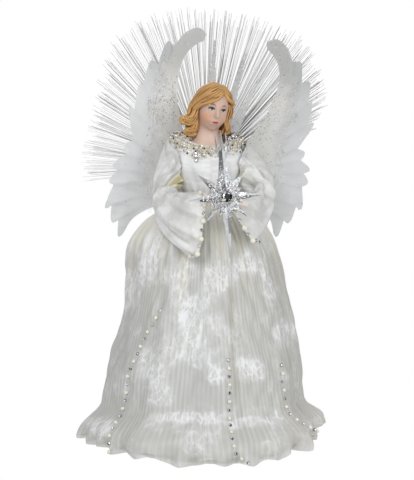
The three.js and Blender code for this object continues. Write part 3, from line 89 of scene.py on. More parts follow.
CAMERA = {"azimuth": math.radians(-12), "distance": 1.05, "height": 0.192, "aside": 0.0009}
LIGHTS = {
    "key": {"place": (-0.8, -1.2, 1.0), "target": (0, 0, 0.2), "size": 1.0, "power": 10.2},
    "fill": {"place": (0.7, -1.3, 0.35), "target": (0, 0, 0.2), "size": 0.9, "power": 7.2},
    "rim": {"place": (0.3, 1.2, 1.1), "target": (0, 0, 0.25), "size": 0.8, "power": 8},
}
STAGE = {
    "floor": [(-4, -4, 0), (4, -4, 0), (4, 3, 0), (-4, 3, 0)],
    "backdrop": [(-4, 3, 0), (4, 3, 0), (4, 3, 5), (-4, 3, 5)],
}


def linked(name, data):
    thing = bpy.data.objects.new(name, data)
    bpy.context.scene.collection.objects.link(thing)
    return thing


def camera():
    azimuth, distance = CAMERA["azimuth"], CAMERA["distance"]
    data = bpy.data.cameras.new("camera")
    data.lens = 85
    data.sensor_fit = "VERTICAL"
    data.sensor_height = 36
    data.clip_end = 20
    cam = linked("camera", data)
    across, back = math.sin(azimuth) * distance, math.cos(azimuth) * distance
    cam.location = (across + CAMERA["aside"], -back, CAMERA["height"])
    cam.rotation_euler = (math.radians(90), 0, azimuth)
    bpy.context.scene.camera = cam


def area_light(name, place, target, size, power):
    data = bpy.data.lights.new(name, "AREA")
    data.size = size
    data.energy = power
    lamp = linked(name, data)
    lamp.location = place
    lamp.rotation_euler = (Vector(target) - Vector(place)).to_track_quat("-Z", "Y").to_euler()


def sky():
    world = bpy.data.worlds.new("studio")
    bpy.context.scene.world = world
    world.use_nodes = True
    back = world.node_tree.nodes["Background"]
    back.inputs["Color"].default_value = (0.98, 0.99, 1, 1)
    back.inputs["Strength"].default_value = 0.5


def paper_look():
    """Plain pale paper that is white in the picture and behind clear pieces."""
    paper = Look("stage", Base_Color=(0.8, 0.8, 0.8), Roughness=0.9)
    white = paper.add("Emission")
    path = paper.add("LightPath")
    seen = paper.math("MAXIMUM", path.outputs["Is Camera Ray"], path.outputs["Is Transmission Ray"])
    paper.blend_shader(seen, white.outputs[0])
    return paper.material


def studio():
    sky()
    for name, light in LIGHTS.items():
        area_light(name, **light)
    bpy.context.scene.view_settings.view_transform = "Standard"
    paper = paper_look()
    for name, corners in STAGE.items():
        mesh = bpy.data.meshes.new(name)
        mesh.from_pydata(corners, [], [(0, 1, 2, 3)])
        mesh.materials.append(paper)
        linked(name, mesh)


# Materials

class Look:
    """A node material round one principled shader."""

    def __init__(self, name, **values):
        self.material = bpy.data.materials.new(name)
        self.material.use_nodes = True
        self.nodes = self.material.node_tree.nodes
        self.links = self.material.node_tree.links
        self.shader = self.nodes["Principled BSDF"]
        for socket, value in values.items():
            plain = (*value, 1) if isinstance(value, tuple) else value
            self.shader.inputs[socket.replace("_", " ")].default_value = plain

    def add(self, kind, **settings):
        node = self.nodes.new("ShaderNode" + kind)
        for key, value in settings.items():
            setattr(node, key, value)
        return node

    def feed(self, value, socket):
        """Sets a socket to a number or a color, or links another node's output to it."""
        if isinstance(value, tuple):
            socket.default_value = (*value, 1)
        elif isinstance(value, (int, float)):
            socket.default_value = value
        else:
            self.links.new(value, socket)

    def math(self, operation, *values, clamp=False):
        node = self.add("Math", operation=operation, use_clamp=clamp)
        for value, socket in zip(values, node.inputs):
            self.feed(value, socket)
        return node.outputs[0]

    def times(self, a, b):
        return self.math("MULTIPLY", a, b)

    def plus(self, a, b, clamp=False):
        return self.math("ADD", a, b, clamp=clamp)

    def scaled(self, value, factor, start):
        return self.math("MULTIPLY_ADD", value, factor, start)

    def step(self, value, low, high):
        node = self.add("MapRange", interpolation_type="SMOOTHSTEP")
        for socket, amount in (("Value", value), ("From Min", low), ("From Max", high)):
            self.feed(amount, node.inputs[socket])
        return node.outputs["Result"]

    def noise(self, scale, detail=2, where=None, rough=0.5):
        node = self.add("TexNoise")
        for socket, amount in (("Scale", scale), ("Detail", detail), ("Roughness", rough)):
            self.feed(amount, node.inputs[socket])
        self.feed(where or self.add("TexCoord").outputs["Object"], node.inputs["Vector"])
        return node.outputs["Fac"]

    def stretched(self, where, stretch):
        node = self.add("Mapping")
        node.inputs["Scale"].default_value = stretch
        self.feed(where or self.add("TexCoord").outputs["Object"], node.inputs["Vector"])
        return node.outputs[0]

    def grain(self, where, stretch, detail=2, rough=0.5):
        """Noise drawn out along one direction."""
        return self.noise(1, detail, self.stretched(where, stretch), rough)

    def uv(self):
        node = self.add("UVMap", uv_map="UVMap")
        split = self.add("SeparateXYZ")
        self.feed(node.outputs[0], split.inputs[0])
        return node.outputs[0], split.outputs[0], split.outputs[1]

    def mix(self, share, a, b):
        node = self.add("Mix", data_type="RGBA")
        for socket, value in ((node.inputs[0], share), (node.inputs[6], a), (node.inputs[7], b)):
            self.feed(value, socket)
        return node.outputs[2]

    def tint(self):
        return self.add("VertexColor", layer_name="tint").outputs["Color"]

    def marks(self):
        """The three values that a tint holds."""
        split = self.add("SeparateColor")
        self.feed(self.tint(), split.inputs[0])
        return tuple(split.outputs)

    def bump(self, height, strength, distance):
        node = self.add("Bump")
        node.inputs["Strength"].default_value = strength
        node.inputs["Distance"].default_value = distance * MM
        self.feed(height, node.inputs["Height"])
        self.feed(node.outputs[0], self.shader.inputs["Normal"])

    def color(self, source):
        self.feed(source, self.shader.inputs["Base Color"])

    def blend_shader(self, share, shader):
        """Mixes a share of another shader into the surface."""
        swap = self.add("MixShader")
        out = self.nodes["Material Output"].inputs["Surface"]
        for source, socket in zip((share, out.links[0].from_socket, shader), swap.inputs):
            self.feed(source, socket)
        self.feed(swap.outputs[0], out)

    def see_through(self, share):
        """Mixes in a share of plain transparency."""
        self.blend_shader(share, self.add("BsdfTransparent").outputs[0])

    def glow_through(self, share, color):
        """Mixes in a share of light that passes through thin cloth or film."""
        thin = self.add("BsdfTranslucent")
        thin.inputs["Color"].default_value = (*color, 1)
        self.blend_shader(share, thin.outputs[0])


def organza_ribs(look, where, across):
    """Wide ribs and fine ones between them, which drift a little and fade in places."""
    ribs_round, drift_depth, fine_ratio = 136, 13, 2.37
    drift = look.grain(where, (11, 3, 1))
    line = look.plus(look.times(across, ribs_round * math.tau), look.times(drift, drift_depth))
    wide = look.math("POWER", look.scaled(look.math("SINE", line), 0.5, 0.5), 2)
    fine = look.scaled(look.math("SINE", look.times(line, fine_ratio)), 0.5, 0.5)
    fade = look.step(look.grain(where, (34, 6, 1)), 0.35, 0.65)
    return look.plus(look.times(wide, look.scaled(fade, 0.5, 0.3)), look.times(fine, 0.2))


def organza_net(look, where):
    """A bent net of small bright lines, painted highlights where the cloth lies in crushed folds."""
    wobble = look.add("TexNoise")
    wobble.inputs["Scale"].default_value = 1
    look.feed(look.stretched(where, (50, 20, 1)), wobble.inputs["Vector"])
    warp = look.add("VectorMath", operation="MULTIPLY_ADD")
    look.feed(wobble.outputs["Color"], warp.inputs[0])
    warp.inputs[1].default_value = (0.016, 0.045, 0)
    look.feed(where, warp.inputs[2])
    webs = []
    nets = (((112, 26, 1), 0.9, 0.2, 0.6), ((170, 44, 1), 1, 0.3, 0.25))
    for cells_along, randomness, line, strength in nets:
        cells = look.add("TexVoronoi", feature="DISTANCE_TO_EDGE")
        cells.inputs["Scale"].default_value = 1
        cells.inputs["Randomness"].default_value = randomness
        look.feed(look.stretched(warp.outputs[0], cells_along), cells.inputs["Vector"])
        web = look.math("SUBTRACT", 1, look.step(cells.outputs["Distance"], 0, line))
        webs.append(look.times(web, strength))
    return look.times(look.plus(*webs), look.scaled(look.grain(where, (60, 24, 1)), 1.4, 0.1))


def organza_look():
    """Ribbed organza; its tint holds painted warm shade in gathers, painted highlights and painted shade
    beside folds.
    """
    cloth, warm = (0.58, 0.594, 0.589), (0.68, 0.645, 0.525)
    shadow, bright = (0.52, 0.495, 0.44), (0.95, 0.96, 0.985)
    # Painted light: at the waist the cloth and its ribs are lightened where the sleeves and the star shade
    # it.
    waist_lit_cloth, waist_lit_valley_shade = (0.95, 0.95, 0.92), (0.9, 0.85, 0.68)
    rib_tone, waist_lit_rib_tone = (0.75, 0.755, 0.74), (0.98, 0.98, 0.95)
    look = Look("organza", Roughness=0.4, Sheen_Weight=0.12, Sheen_Roughness=0.4)
    where, across, up = look.uv()
    gather_shade, gleaming, shaded = look.marks()
    rib = organza_ribs(look, where, across)
    # Painted highlights: patches of a bright net and bright streaks, mixed into the colour.
    patch = look.plus(look.grain(where, (22, 9, 1), 3, 0.6), look.times(gleaming, 0.24))
    streak = look.step(look.grain(where, (170, 12, 1), 4, 0.65), 0.42, 0.68)
    cross = look.step(look.grain(where, (20, 90, 1), 3, 0.6), 0.5, 0.7)
    inside = look.plus(look.times(streak, 0.45), look.times(cross, 0.14))
    net = look.plus(organza_net(look, where), look.plus(inside, 0.1))
    glow = look.times(look.step(patch, 0.46, 0.8), net)
    shine = look.plus(glow, look.times(streak, 0.14), clamp=True)
    waist = look.step(up, 0.74, 0.9)
    # Painted warm shade in the gather valleys, from the tint.
    base = look.mix(waist, look.mix(gather_shade, cloth, warm), look.mix(gather_shade, waist_lit_cloth, waist_lit_valley_shade))
    ribs = look.mix(waist, rib_tone, waist_lit_rib_tone)
    ribbed = look.mix(look.times(rib, 0.55), look.mix(shaded, base, shadow), ribs)
    look.color(look.mix(look.times(shine, 0.95), ribbed, bright))
    height = look.plus(look.times(rib, 0.6), look.times(look.grain(where, (60, 900, 1), 1), 0.2))
    look.bump(look.plus(height, look.times(glow, 0.5)), 0.5, 0.5)
    look.glow_through(0.22, (0.93, 0.92, 0.87))
    look.see_through(look.times(look.math("SUBTRACT", 1, shine), look.scaled(rib, -0.12, 0.16)))
    return look.material


def lining_look():
    look = Look("lining", Roughness=0.7)
    where = look.uv()[0]
    look.color(look.mix(look.grain(where, (9, 5, 1), 3), (0.74, 0.71, 0.61), (0.84, 0.82, 0.75)))
    look.bump(look.grain(where, (500, 400, 1), 1), 0.3, 0.3)
    look.glow_through(0.2, (0.85, 0.8, 0.68))
    return look.material


def satin_look(name, low, high):
    """Satin with painted cloudy sheen and painted highlight streaks; its tint marks painted warm shade in the
    crook of an arm.
    """
    crook_shade_tone, gleam_tone = (0.95, 0.83, 0.46), (0.88, 0.89, 0.89)
    look = Look(name, Roughness=0.23, Sheen_Weight=0.1, Anisotropic=0.5, Specular_IOR_Level=0.8)
    where = look.uv()[0]
    # Painted light: clouds of sheen and shade in the colour, with fine highlight streaks over them.
    pool = look.grain(where, (6, 8, 1), 3, 0.6)
    shade = look.step(pool, 0.38, 0.62)
    base = look.mix(look.marks()[0], look.mix(shade, low, high), crook_shade_tone)
    fine = look.step(look.grain(where, (150, 12, 1), 3, 0.6), 0.5, 0.7)
    look.color(look.mix(look.times(fine, look.scaled(shade, 0.55, 0.15)), base, gleam_tone))
    slub = look.grain(where, (900, 60, 1))
    look.bump(look.plus(look.times(slub, 0.5), look.times(pool, 1.6)), 0.55, 0.8)
    look.glow_through(0.1, (0.88, 0.84, 0.72))
    return look.material


def plain_look(name, low, high, rough, scale=60, bump=0.15, **values):
    """Moulded or coated surface with a faint mottle and a fine bump."""
    look = Look(name, Roughness=rough, **values)
    look.color(look.mix(look.noise(scale, 3), low, high))
    look.bump(look.noise(scale * 25, 2), bump, 0.1)
    return look.material


def tinted_look(name, rough, metal, grain, bump, **values):
    """Surface with its piece's colors from its tint, painted light among them on some pieces; grain is the
    bump's noise, bump its strength and depth.
    """
    look = Look(name, Roughness=rough, Metallic=metal, **values)
    look.color(look.tint())
    look.bump(look.noise(*grain), *bump)
    return look


def film_look(name, low, high, clear):
    """Frosted film; its tint holds painted shade, at feather laps, towards the horns and over the right wing,
    and how far a place is from the edge.
    """
    look = Look(name, Roughness=0.42, Specular_IOR_Level=0.35)
    lit, solid, _ = look.marks()
    cloud = look.noise(60, 4, rough=0.6)
    vein = look.grain(look.uv()[0], (3, 60, 1))
    share = look.plus(look.times(cloud, 0.75), look.times(vein, 0.25))
    base = look.mix(look.step(share, 0.36, 0.64), low, high)
    look.color(look.mix(lit, tuple(c * 0.45 for c in low), base))
    look.bump(look.plus(look.times(vein, 0.5), look.noise(900, 1)), 0.2, 0.3)
    look.glow_through(0.25, high)
    thin = look.times(look.step(cloud, 0.35, 0.7), clear)
    look.see_through(look.math("MAXIMUM", thin, look.scaled(solid, -0.85, 0.85)))
    return look.material


# Meshes

def put(name, node, verts, faces, materials, uv=None, tint=None, slots=None, smooth=True):
    """Links a mesh given in millimetres; it rides on the node's body."""
    mesh = bpy.data.meshes.new(name)
    mesh.from_pydata((np.reshape(verts, (-1, 3)) * MM).tolist(), [], [list(map(int, f)) for f in faces])
    for material in materials:
        mesh.materials.append(material)
    if uv is not None:
        layer = mesh.uv_layers.new(name="UVMap")
        loops = np.zeros(len(mesh.loops), int)
        mesh.loops.foreach_get("vertex_index", loops)
        layer.data.foreach_set("uv", np.reshape(uv, (-1, 2))[loops].ravel())
    if tint is not None:
        tint = np.reshape(tint, (-1, 3))
        domain = "POINT" if len(tint) == len(mesh.vertices) else "CORNER"
        if domain == "CORNER":
            tint = np.repeat(tint, [p.loop_total for p in mesh.polygons], axis=0)
        layer = mesh.color_attributes.new(name="tint", type="FLOAT_COLOR", domain=domain)
        layer.data.foreach_set("color", np.column_stack([tint, np.ones(len(tint))]).ravel())
    if slots is not None:
        mesh.polygons.foreach_set("material_index", slots)
    mesh.polygons.foreach_set("use_smooth", [smooth] * len(mesh.polygons))
    mesh.update()
    piece = linked(name, mesh)
    stands_for(piece, node)
    return piece


def stands_for(piece, node):
    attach(piece, BODY)
    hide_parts(node)


def curve_at(xs, ys, x):
    """A smooth curve through given points."""
    xs, ys, x = np.asarray(xs, float), np.asarray(ys, float), np.asarray(x, float)
    slope = np.gradient(ys, xs, axis=0)
    i = np.clip(np.searchsorted(xs, x, side="right") - 1, 0, len(xs) - 2)
    gap = xs[i + 1] - xs[i]
    t = np.clip((x - xs[i]) / gap, 0, 1)
    if ys.ndim > 1:
        t, gap = t[..., None], gap[..., None]
    return ((2 * t**3 - 3 * t**2 + 1) * ys[i] + (t**3 - 2 * t**2 + t) * gap * slope[i]
            + (3 * t**2 - 2 * t**3) * ys[i + 1] + (t**3 - t**2) * gap * slope[i + 1])


def through(points, places):
    """Places, as shares of the way, on a smooth line through listed points."""
    return curve_at(np.linspace(0, 1, len(points)), points, places)


def smooth(value, low, high):
    t = np.clip((value - low) / (high - low), 0, 1)
    return t * t * (3 - 2 * t)


def bell(value, middle, width):
    return np.exp(-(((value - middle) / width) ** 2))


def ripple(u, v, seed, across, along, count=7):
    """Seeded sum of sines, which repeats where u goes once round from 0 to 2 pi."""
    draw = np.random.RandomState(seed)
    total = 0
    for _ in range(count):
        f = draw.randint(across[0], across[1] + 1)
        g = draw.uniform(*along) * draw.choice([-1, 1])
        total = total + np.sin(f * u + g * v + draw.uniform(0, math.tau)) * draw.uniform(0.5, 1)
    return total / math.sqrt(count) / 0.55


def grid_faces(columns, rows, closed=False):
    """Quads of a grid of points [column][row]."""
    i = np.arange(columns if closed else columns - 1)[:, None]
    j = np.arange(rows - 1)[None, :]
    a = i * rows + j
    b = ((i + 1) % columns) * rows + j
    return np.stack([a, b, b + 1, a + 1], axis=-1).reshape(-1, 4)


def spread(u, v):
    """Coordinates on a cloth, from its share across and its share up."""
    return np.stack(np.broadcast_arrays(u, v), axis=-1)


# Gown: shares of the hem's radius at heights given as shares, from the hem to the waist

ROWS = [0, 0.07, 0.13, 0.184, 0.342, 0.509, 0.667, 0.78, 0.877, 0.939, 1]
LEFT_SIDE = [0.975, 0.985, 0.92, 0.855, 0.79, 0.69, 0.638, 0.645, 0.56, 0.435, 0.19]
RIGHT_SIDE = [0.9, 0.918, 0.865, 0.805, 0.755, 0.7, 0.635, 0.585, 0.51, 0.42, 0.19]
FRONT = [0.99, 1, 0.92, 0.84, 0.762, 0.645, 0.56, 0.505, 0.42, 0.33, 0.19]
BACK = [1.04, 1.05, 0.95, 0.85, 0.775, 0.665, 0.6, 0.555, 0.47, 0.37, 0.19]
FOLDS = [0.85, 1, 0.72, 0.5, 0.52, 0.46, 0.42, 0.4, 0.36, 0.26, 0.03]
HEM_RISE = {"left": 8, "right": 19}
RISES = [1, 0.72, 0.42, 0.15, 0, 0, 0, 0, 0, 0, 0]
SLIT_DEGREES = [17, 17, 16.5, 16, 12.5, 0.3]
SLIT_TOP = 0.12
WELD_GAP = 0.00005
PRESSED_ROWS = [0, 0.4, 0.62, 0.84, 1]
FRONT_FOLD = [4, 2, 4.5, 8.7, 10]
SIDE_FOLD = [-57, -55, -50, -38, -32]
PRESSED_RISE = 2.2
LINING_GAP = 3.7


def skirt_radius(angle, share):
    side = np.where(np.sin(angle) > 0, curve_at(ROWS, RIGHT_SIDE, share), curve_at(ROWS, LEFT_SIDE, share))
    depth = np.where(np.cos(angle) > 0, curve_at(ROWS, FRONT, share), curve_at(ROWS, BACK, share))
    return 1 / np.hypot(np.sin(angle) / (side * HEM_RADIUS), np.cos(angle) / (depth * HEM_RADIUS))


def fold_wave(angle):
    return np.cos(9 * angle + 0.5) * 0.55 + np.cos(13 * angle + 2.1) * 0.45


def pressed_fold(angle, share, degrees, spread_degrees):
    """A pressed fold: it stands up on one side and falls away at once on the other."""
    edge, trough = math.radians(6), math.radians(9)
    off = angle - np.radians(curve_at(PRESSED_ROWS, degrees, share))
    body = np.where(off < 0, np.exp(off / math.radians(spread_degrees)), 1 - smooth(off, 0, edge) * 1.4)
    return PRESSED_RISE * np.where(off > edge, -0.4 * np.exp(-(off - edge) / trough), body)


def gathers(angle, share):
    """Small pleats drawn in at the waist."""
    hold = smooth(share, 0.5, 0.95) * (1 - smooth(share, 0.985, 1) * 0.6)
    pleats = (np.cos(43 * angle + 2 * np.sin(3 * angle)) + 0.6 * np.cos(61 * angle + 1.3)) * hold
    middle = smooth(share, 0.3, 0.8) * (1 - smooth(share, 0.95, 1))
    loose = ripple(angle, share, 5, (14, 26), (0.5, 3)) * middle
    return pleats + loose


def hem_flutes(angle, share):
    """The fluted hem, which kicks out over a crease."""
    flutes = ripple(angle, share, 21, (22, 40), (0, 9), 9) * 2.8 * (1 - smooth(share, 0, 0.13)) ** 1.1
    mid = 1 - smooth(np.abs(share - 0.12), 0, 0.16)
    flutes = flutes + ripple(angle, share, 22, (12, 24), (0, 4), 7) * 1.1 * mid
    kick = 1.6 * bell(share, 0.1, 0.03) - 2.6 * bell(share, 0.17, 0.035)
    return flutes + kick * (1 + 0.35 * ripple(angle, share, 23, (4, 11), (0, 2), 5))


def skirt_detail(angle, share):
    """Gathers at the waist, crushed cloth, two pressed folds and a fluted hem."""
    top = 1 - smooth(share, 0.8, 0.97)
    crush = ripple(angle, share, 11, (5, 15), (8, 30), 12) * 0.6 * smooth(share, 0.1, 0.3) * top
    fine = ripple(angle, share, 12, (18, 44), (14, 60), 14) * 0.32 * smooth(share, 0.05, 0.2) * top
    live = smooth(share, 0.12, 0.3) * (1 - smooth(share, 0.9, 1))
    folds = (pressed_fold(angle, share, FRONT_FOLD, 8) + pressed_fold(angle, share, SIDE_FOLD, 7)) * live
    return gathers(angle, share) * 0.65 + crush + fine + hem_flutes(angle, share) + folds


def skirt_surface(angle, share, inward=0.0, lively=True):
    """Points of the gown, or of a plain layer some way inside it."""
    radius = skirt_radius(angle, share) - inward
    rise = np.where(np.sin(angle) > 0, HEM_RISE["right"], HEM_RISE["left"])
    z = share * WAIST_HEIGHT + rise * np.sin(angle) ** 2 * curve_at(ROWS, RISES, share) + 0.4
    if lively:
        low = 1 - smooth(share, 0, 0.06)
        folds = fold_wave(angle) * curve_at(ROWS, FOLDS, share) * FOLD_DEPTH
        radius = radius + folds + skirt_detail(angle, share)
        z = z + (fold_wave(angle) + 1) / 2 * 0.9 * FOLD_DEPTH * low
        z = z + (ripple(angle, 0 * share, 31, (16, 28), (0, 0)) * 1.2 + 1.5) * low
    return np.stack([radius * np.sin(angle), -radius * np.cos(angle), z], axis=-1)


def skirt_grid(columns, shares):
    """Columns even round the gown, spread away from the rear slit, and the shares up."""
    even = np.linspace(-180, 180, columns)[:, None]
    slit = np.where(shares < ROWS[5], np.interp(shares, ROWS[:6], SLIT_DEGREES), 0)
    opened = even * (180 - slit) / 180
    backness = np.clip((np.abs(even) - 120) / 60, 0, 1)
    angle = np.radians(even + (opened - even) * backness)
    return angle, shares + 0 * angle


# Painted highlights where the cloth gleams: degrees round, share up, half width in degrees, half height as a
# share
GLEAMS = [
    (-60, 0.78, 14, 0.086), (-36, 0.71, 15, 0.054), (-20, 0.5, 18, 0.126), (-4, 0.68, 10, 0.084),
    (-46, 0.31, 11, 0.052), (-36, 0.26, 7, 0.044), (29, 0.75, 17, 0.046), (46, 0.66, 8, 0.118),
    (16, 0.35, 10, 0.05), (-18, 0.18, 15, 0.02), (10, 0.16, 14, 0.018), (-70, 0.11, 14, 0.032),
    (-18, 0.09, 5, 0.056), (-10, 0.03, 6, 0.018), (53, 0.47, 17, 0.052), (-77, 0.66, 15, 0.078),
    (-6, 0.34, 5, 0.036), (-50, 0.37, 11, 0.058), (110, 0.6, 16, 0.1), (150, 0.4, 14, 0.09),
    (-140, 0.5, 16, 0.1), (-115, 0.3, 12, 0.07),
]


def gleaming(angle, share):
    total = 0
    for middle, height, wide, tall in GLEAMS:
        off = np.hypot((np.degrees(angle) - middle) / wide, (share - height) / tall)
        total = np.maximum(total, 1 - smooth(off, 0.5, 1.5))
    return total


def shaded(angle, share):
    """Painted shade: the right side of the gown, its hem and the hollows beside the two pressed folds."""
    degrees = np.degrees(angle)
    off = degrees - curve_at(PRESSED_ROWS, FRONT_FOLD, share)
    front = smooth(share, 0.15, 0.4) * (1 - smooth(share, 0.78, 0.9) * 0.7) * 0.9
    front = np.where(off > 0, np.exp(-off / 9), 0) * front
    left = np.where(degrees < -50, np.exp((degrees + 50) / 8), 0) * smooth(share, 0.3, 0.6) * 0.3
    right = smooth(degrees, 12, 50) * 0.38 * (1 - smooth(share, 0.75, 0.9))
    hem = (1 - smooth(share, 0.04, 0.34)) * 0.25
    return np.clip(np.maximum(front, left) + right + hem, 0, 1)


def gown():
    columns, rows = 900, 190
    angle, share = skirt_grid(columns, np.linspace(0, 1, rows) ** 1.15)
    # The tint holds painted warm shade in the gather valleys, painted highlights and painted shade.
    valley_shade = np.clip(0.15 - gathers(angle, share) * 0.5, 0, 1) * smooth(share, 0.4, 0.85)
    tint = np.stack([valley_shade, gleaming(angle, share), shaded(angle, share)], axis=-1)
    uv = spread(np.linspace(0, 1, columns)[:, None], share)
    piece = put("gown", "skirt_organza", skirt_surface(angle, share), grid_faces(columns, rows),
                [organza_look()], uv, tint)
    weld_seam(piece)


def weld_seam(piece):
    """Closes the rear seam above the slit, where both edges meet."""
    bm = bmesh.new()
    bm.from_mesh(piece.data)
    edge = [v for v in bm.verts if v.is_boundary and v.co.z > SLIT_TOP and v.co.y > 0]
    bmesh.ops.remove_doubles(bm, verts=edge, dist=WELD_GAP)
    bm.to_mesh(piece.data)
    bm.free()


def gown_lining():
    columns, rows = 220, 60
    angle, share = skirt_grid(columns, np.linspace(0.02, 0.99, rows))
    inset = curve_at(ROWS, FOLDS, share) * FOLD_DEPTH + LINING_GAP - 1.8 * share
    soft = ripple(angle, share, 41, (6, 13), (1, 5)) * 0.5 * (1 - smooth(share, 0.8, 0.98))
    points = skirt_surface(angle, share, inset - soft, lively=False)
    piece = put("gown_lining", "skirt_lining", points, grid_faces(columns, rows), [lining_look()],
                spread(np.linspace(0, 1, columns)[:, None], share))
    weld_seam(piece)


# Beads and stones

PEARL = (0.8, 0.77, 0.66)
GOLD, SILVER, DARK_BEAD = (0.74, 0.63, 0.44), (0.88, 0.85, 0.78), (0.07, 0.05, 0.035)
CRYSTAL = (0.95, 0.96, 1)
TAPE_TONE, CUFF_TAPE_TONE = (0.7, 0.69, 0.6), (0.75, 0.73, 0.64)
PEARL_SLOT, STONE_SLOT, TAPE_SLOT = 0, 1, 2


def ball(radius, rings=7, sides=10):
    verts, faces = [(0, 0, radius)], []
    for j in range(1, rings):
        a = math.pi * j / rings
        for i in range(sides):
            b = math.tau * i / sides
            level = radius * math.sin(a)
            verts.append((level * math.cos(b), level * math.sin(b), radius * math.cos(a)))
    verts.append((0, 0, -radius))
    for i in range(sides):
        n = (i + 1) % sides
        faces.append((0, 1 + i, 1 + n))
        for j in range(rings - 2):
            a, b = 1 + j * sides, 1 + (j + 1) * sides
            faces.append((a + i, b + i, b + n, a + n))
        last = 1 + (rings - 2) * sides
        faces.append((len(verts) - 1, last + n, last + i))
    return np.array(verts), faces


def brilliant(radius, height, sides=8):
    """A cut stone: table, crown facets and girdle, with its back flat."""
    rings = [(radius, 0, 0), (radius, height * 0.3, 0), (radius * 0.8, height * 0.72, 0.5),
             (radius * 0.5, height, 0)]
    verts, faces = [], []
    for r, z, turn in rings:
        for i in range(sides):
            a = math.tau * (i + turn) / sides
            verts.append((r * math.cos(a), r * math.sin(a), z))
    for a in range(0, (len(rings) - 1) * sides, sides):
        for i in range(sides):
            n = (i + 1) % sides
            faces.append((a + i, a + n, a + sides + n))
            faces.append((a + i, a + sides + n, a + sides + i))
    faces.append(tuple(range(len(verts) - sides, len(verts))))
    faces.append(tuple(reversed(range(sides))))
    return np.array(verts), faces


def ring_faces(stations, sides, first=0):
    """Quads of a tube whose rings of points follow one another."""
    faces = []
    for j in range(stations):
        a, b = first + j * sides, first + (j + 1) * sides
        faces += [(a + i, a + (i + 1) % sides, b + (i + 1) % sides, b + i) for i in range(sides)]
    return faces


class Beads:
    """Gathers many small bodies into one mesh with a color for each face."""

    def __init__(self, seed):
        self.verts, self.faces, self.tints, self.slots = [], [], [], []
        self.count = 0
        self.draw = np.random.RandomState(seed)

    def join(self, verts, faces, tints, slot=0):
        """Adds a body; tints is one color, or one for each face."""
        self.verts.append(np.asarray(verts, float))
        self.faces += [tuple(i + self.count for i in f) for f in faces]
        self.tints += [tints] * len(faces) if np.ndim(tints) == 1 else list(tints)
        self.slots += [slot] * len(faces)
        self.count += len(verts)

    def add(self, body, place, out, slot, color=None, low=0.05):
        """Sets a bead or a stone on its place; a stone without a color has facets painted in different greys,
        as painted reflections.
        """
        verts, faces = body
        spin = Matrix.Rotation(self.draw.uniform(0, 6.28), 3, "Z")
        turn = Vector(out).to_track_quat("Z", "Y").to_matrix() @ spin
        tints = color or [self.facet(low) for _ in faces]
        self.join(verts @ np.array(turn).T + np.asarray(place, float), faces, tints, slot)

    def facet(self, low):
        # Painted reflection: one facet's grey.
        shade = self.draw.choice([low, 0.35, 0.75, 1.0], p=[0.25, 0.2, 0.25, 0.3])
        return [c * shade for c in CRYSTAL]

    def finish(self, name, node, materials, round_slot=None, uv=None):
        """Makes the mesh; the faces of one slot may be shaded as round."""
        verts = np.concatenate(self.verts)
        piece = put(name, node, verts, self.faces, materials, uv, self.tints, self.slots, False)
        piece.data.polygons.foreach_set("use_smooth", [slot == round_slot for slot in self.slots])
        return piece


def bead_looks():
    pearl = tinted_look("pearl", 0.22, 0.0, (300, 2), (0.05, 0.1), Coat_Weight=0.6, Coat_Roughness=0.12)
    stone = tinted_look("rhinestone", 0.08, 0.75, (900, 1), (0.03, 0.05))
    thread = Look("ribbon", Roughness=0.6)
    thread.color(thread.mix(thread.noise(900, 2), (0.62, 0.6, 0.52), (0.8, 0.79, 0.72)))
    braid = Look("braid", Roughness=0.5)
    braid.color(braid.mix(braid.noise(900, 2), (0.5, 0.44, 0.34), (0.72, 0.67, 0.57)))
    sewn = [pearl.material, stone.material]
    return {"trim": [*sewn, thread.material], "braid": [*sewn, braid.material]}


def along(points, spacing):
    """Evenly spaced places on a polyline."""
    length = np.concatenate([[0], np.cumsum(np.linalg.norm(np.diff(points, axis=0), axis=1))])
    count = max(2, int(length[-1] / spacing))
    marks = np.linspace(0, length[-1], count + 1)
    return np.stack([np.interp(marks, length, points[:, k]) for k in range(3)], axis=-1)


def bead_line(beads, places, outward, pearl, stone):
    """Stones and pearls by turns, each with its size and how far it stands out."""
    for k, place in enumerate(places):
        out = outward(place)
        if k % 2:
            beads.add(ball(pearl["radius"]), place + np.array(out) * pearl["out"], out, PEARL_SLOT, PEARL)
        else:
            beads.add(brilliant(*stone["size"]), place + np.array(out) * stone["out"], out, STONE_SLOT)


# Each trim's path on the gown: degrees round and share up
SKIRT_TRIMS = {
    "left": [(-45, 0.57), (-51, 0.5), (-56, 0.42), (-60, 0.33), (-61, 0.25), (-62, 0.16), (-60, 0.1),
             (-59, 0.06), (-58, 0.012)],
    "front": [(1, 0.39), (0.5, 0.3), (0, 0.18), (-0.5, 0.1), (1.5, 0.05), (6, 0.012)],
    "right": [(37, 0.36), (36.5, 0.25), (38, 0.16), (44, 0.1), (52, 0.06), (60, 0.03)],
}
TRIM_SPACING, CUFF_SPACING = 7, 6.6


def skirt_trims(looks):
    def outward(place):
        return Vector((place[0], place[1], 0)).normalized()

    for seed, (side, marks) in enumerate(SKIRT_TRIMS.items(), 60):
        path = through(np.array(marks, float), np.linspace(0, 1, 60))
        path = skirt_surface(np.radians(path[:, 0]), path[:, 1])
        beads = Beads(seed)
        bead_line(beads, along(path, TRIM_SPACING), outward, {"radius": 1.75, "out": 1.5},
                  {"size": (1.6, 1.5), "out": 0.5})
        beads.finish(f"gown_trim_{side}", f"skirt_trim_{side}", looks["trim"], PEARL_SLOT)


# Bodice and neckline

BODICE_ROWS = [0, 0.16, 0.36, 0.56, 0.72, 0.88, 1]
BODICE_WIDTH = [0.59, 0.75, 0.88, 0.965, 1, 0.965, 0.82]
BODICE_DEPTH = [0.77, 0.92, 1, 0.97, 0.92, 0.86, 0.79]
TOP_FRONT, TOP_BACK = 0.79, 1.03


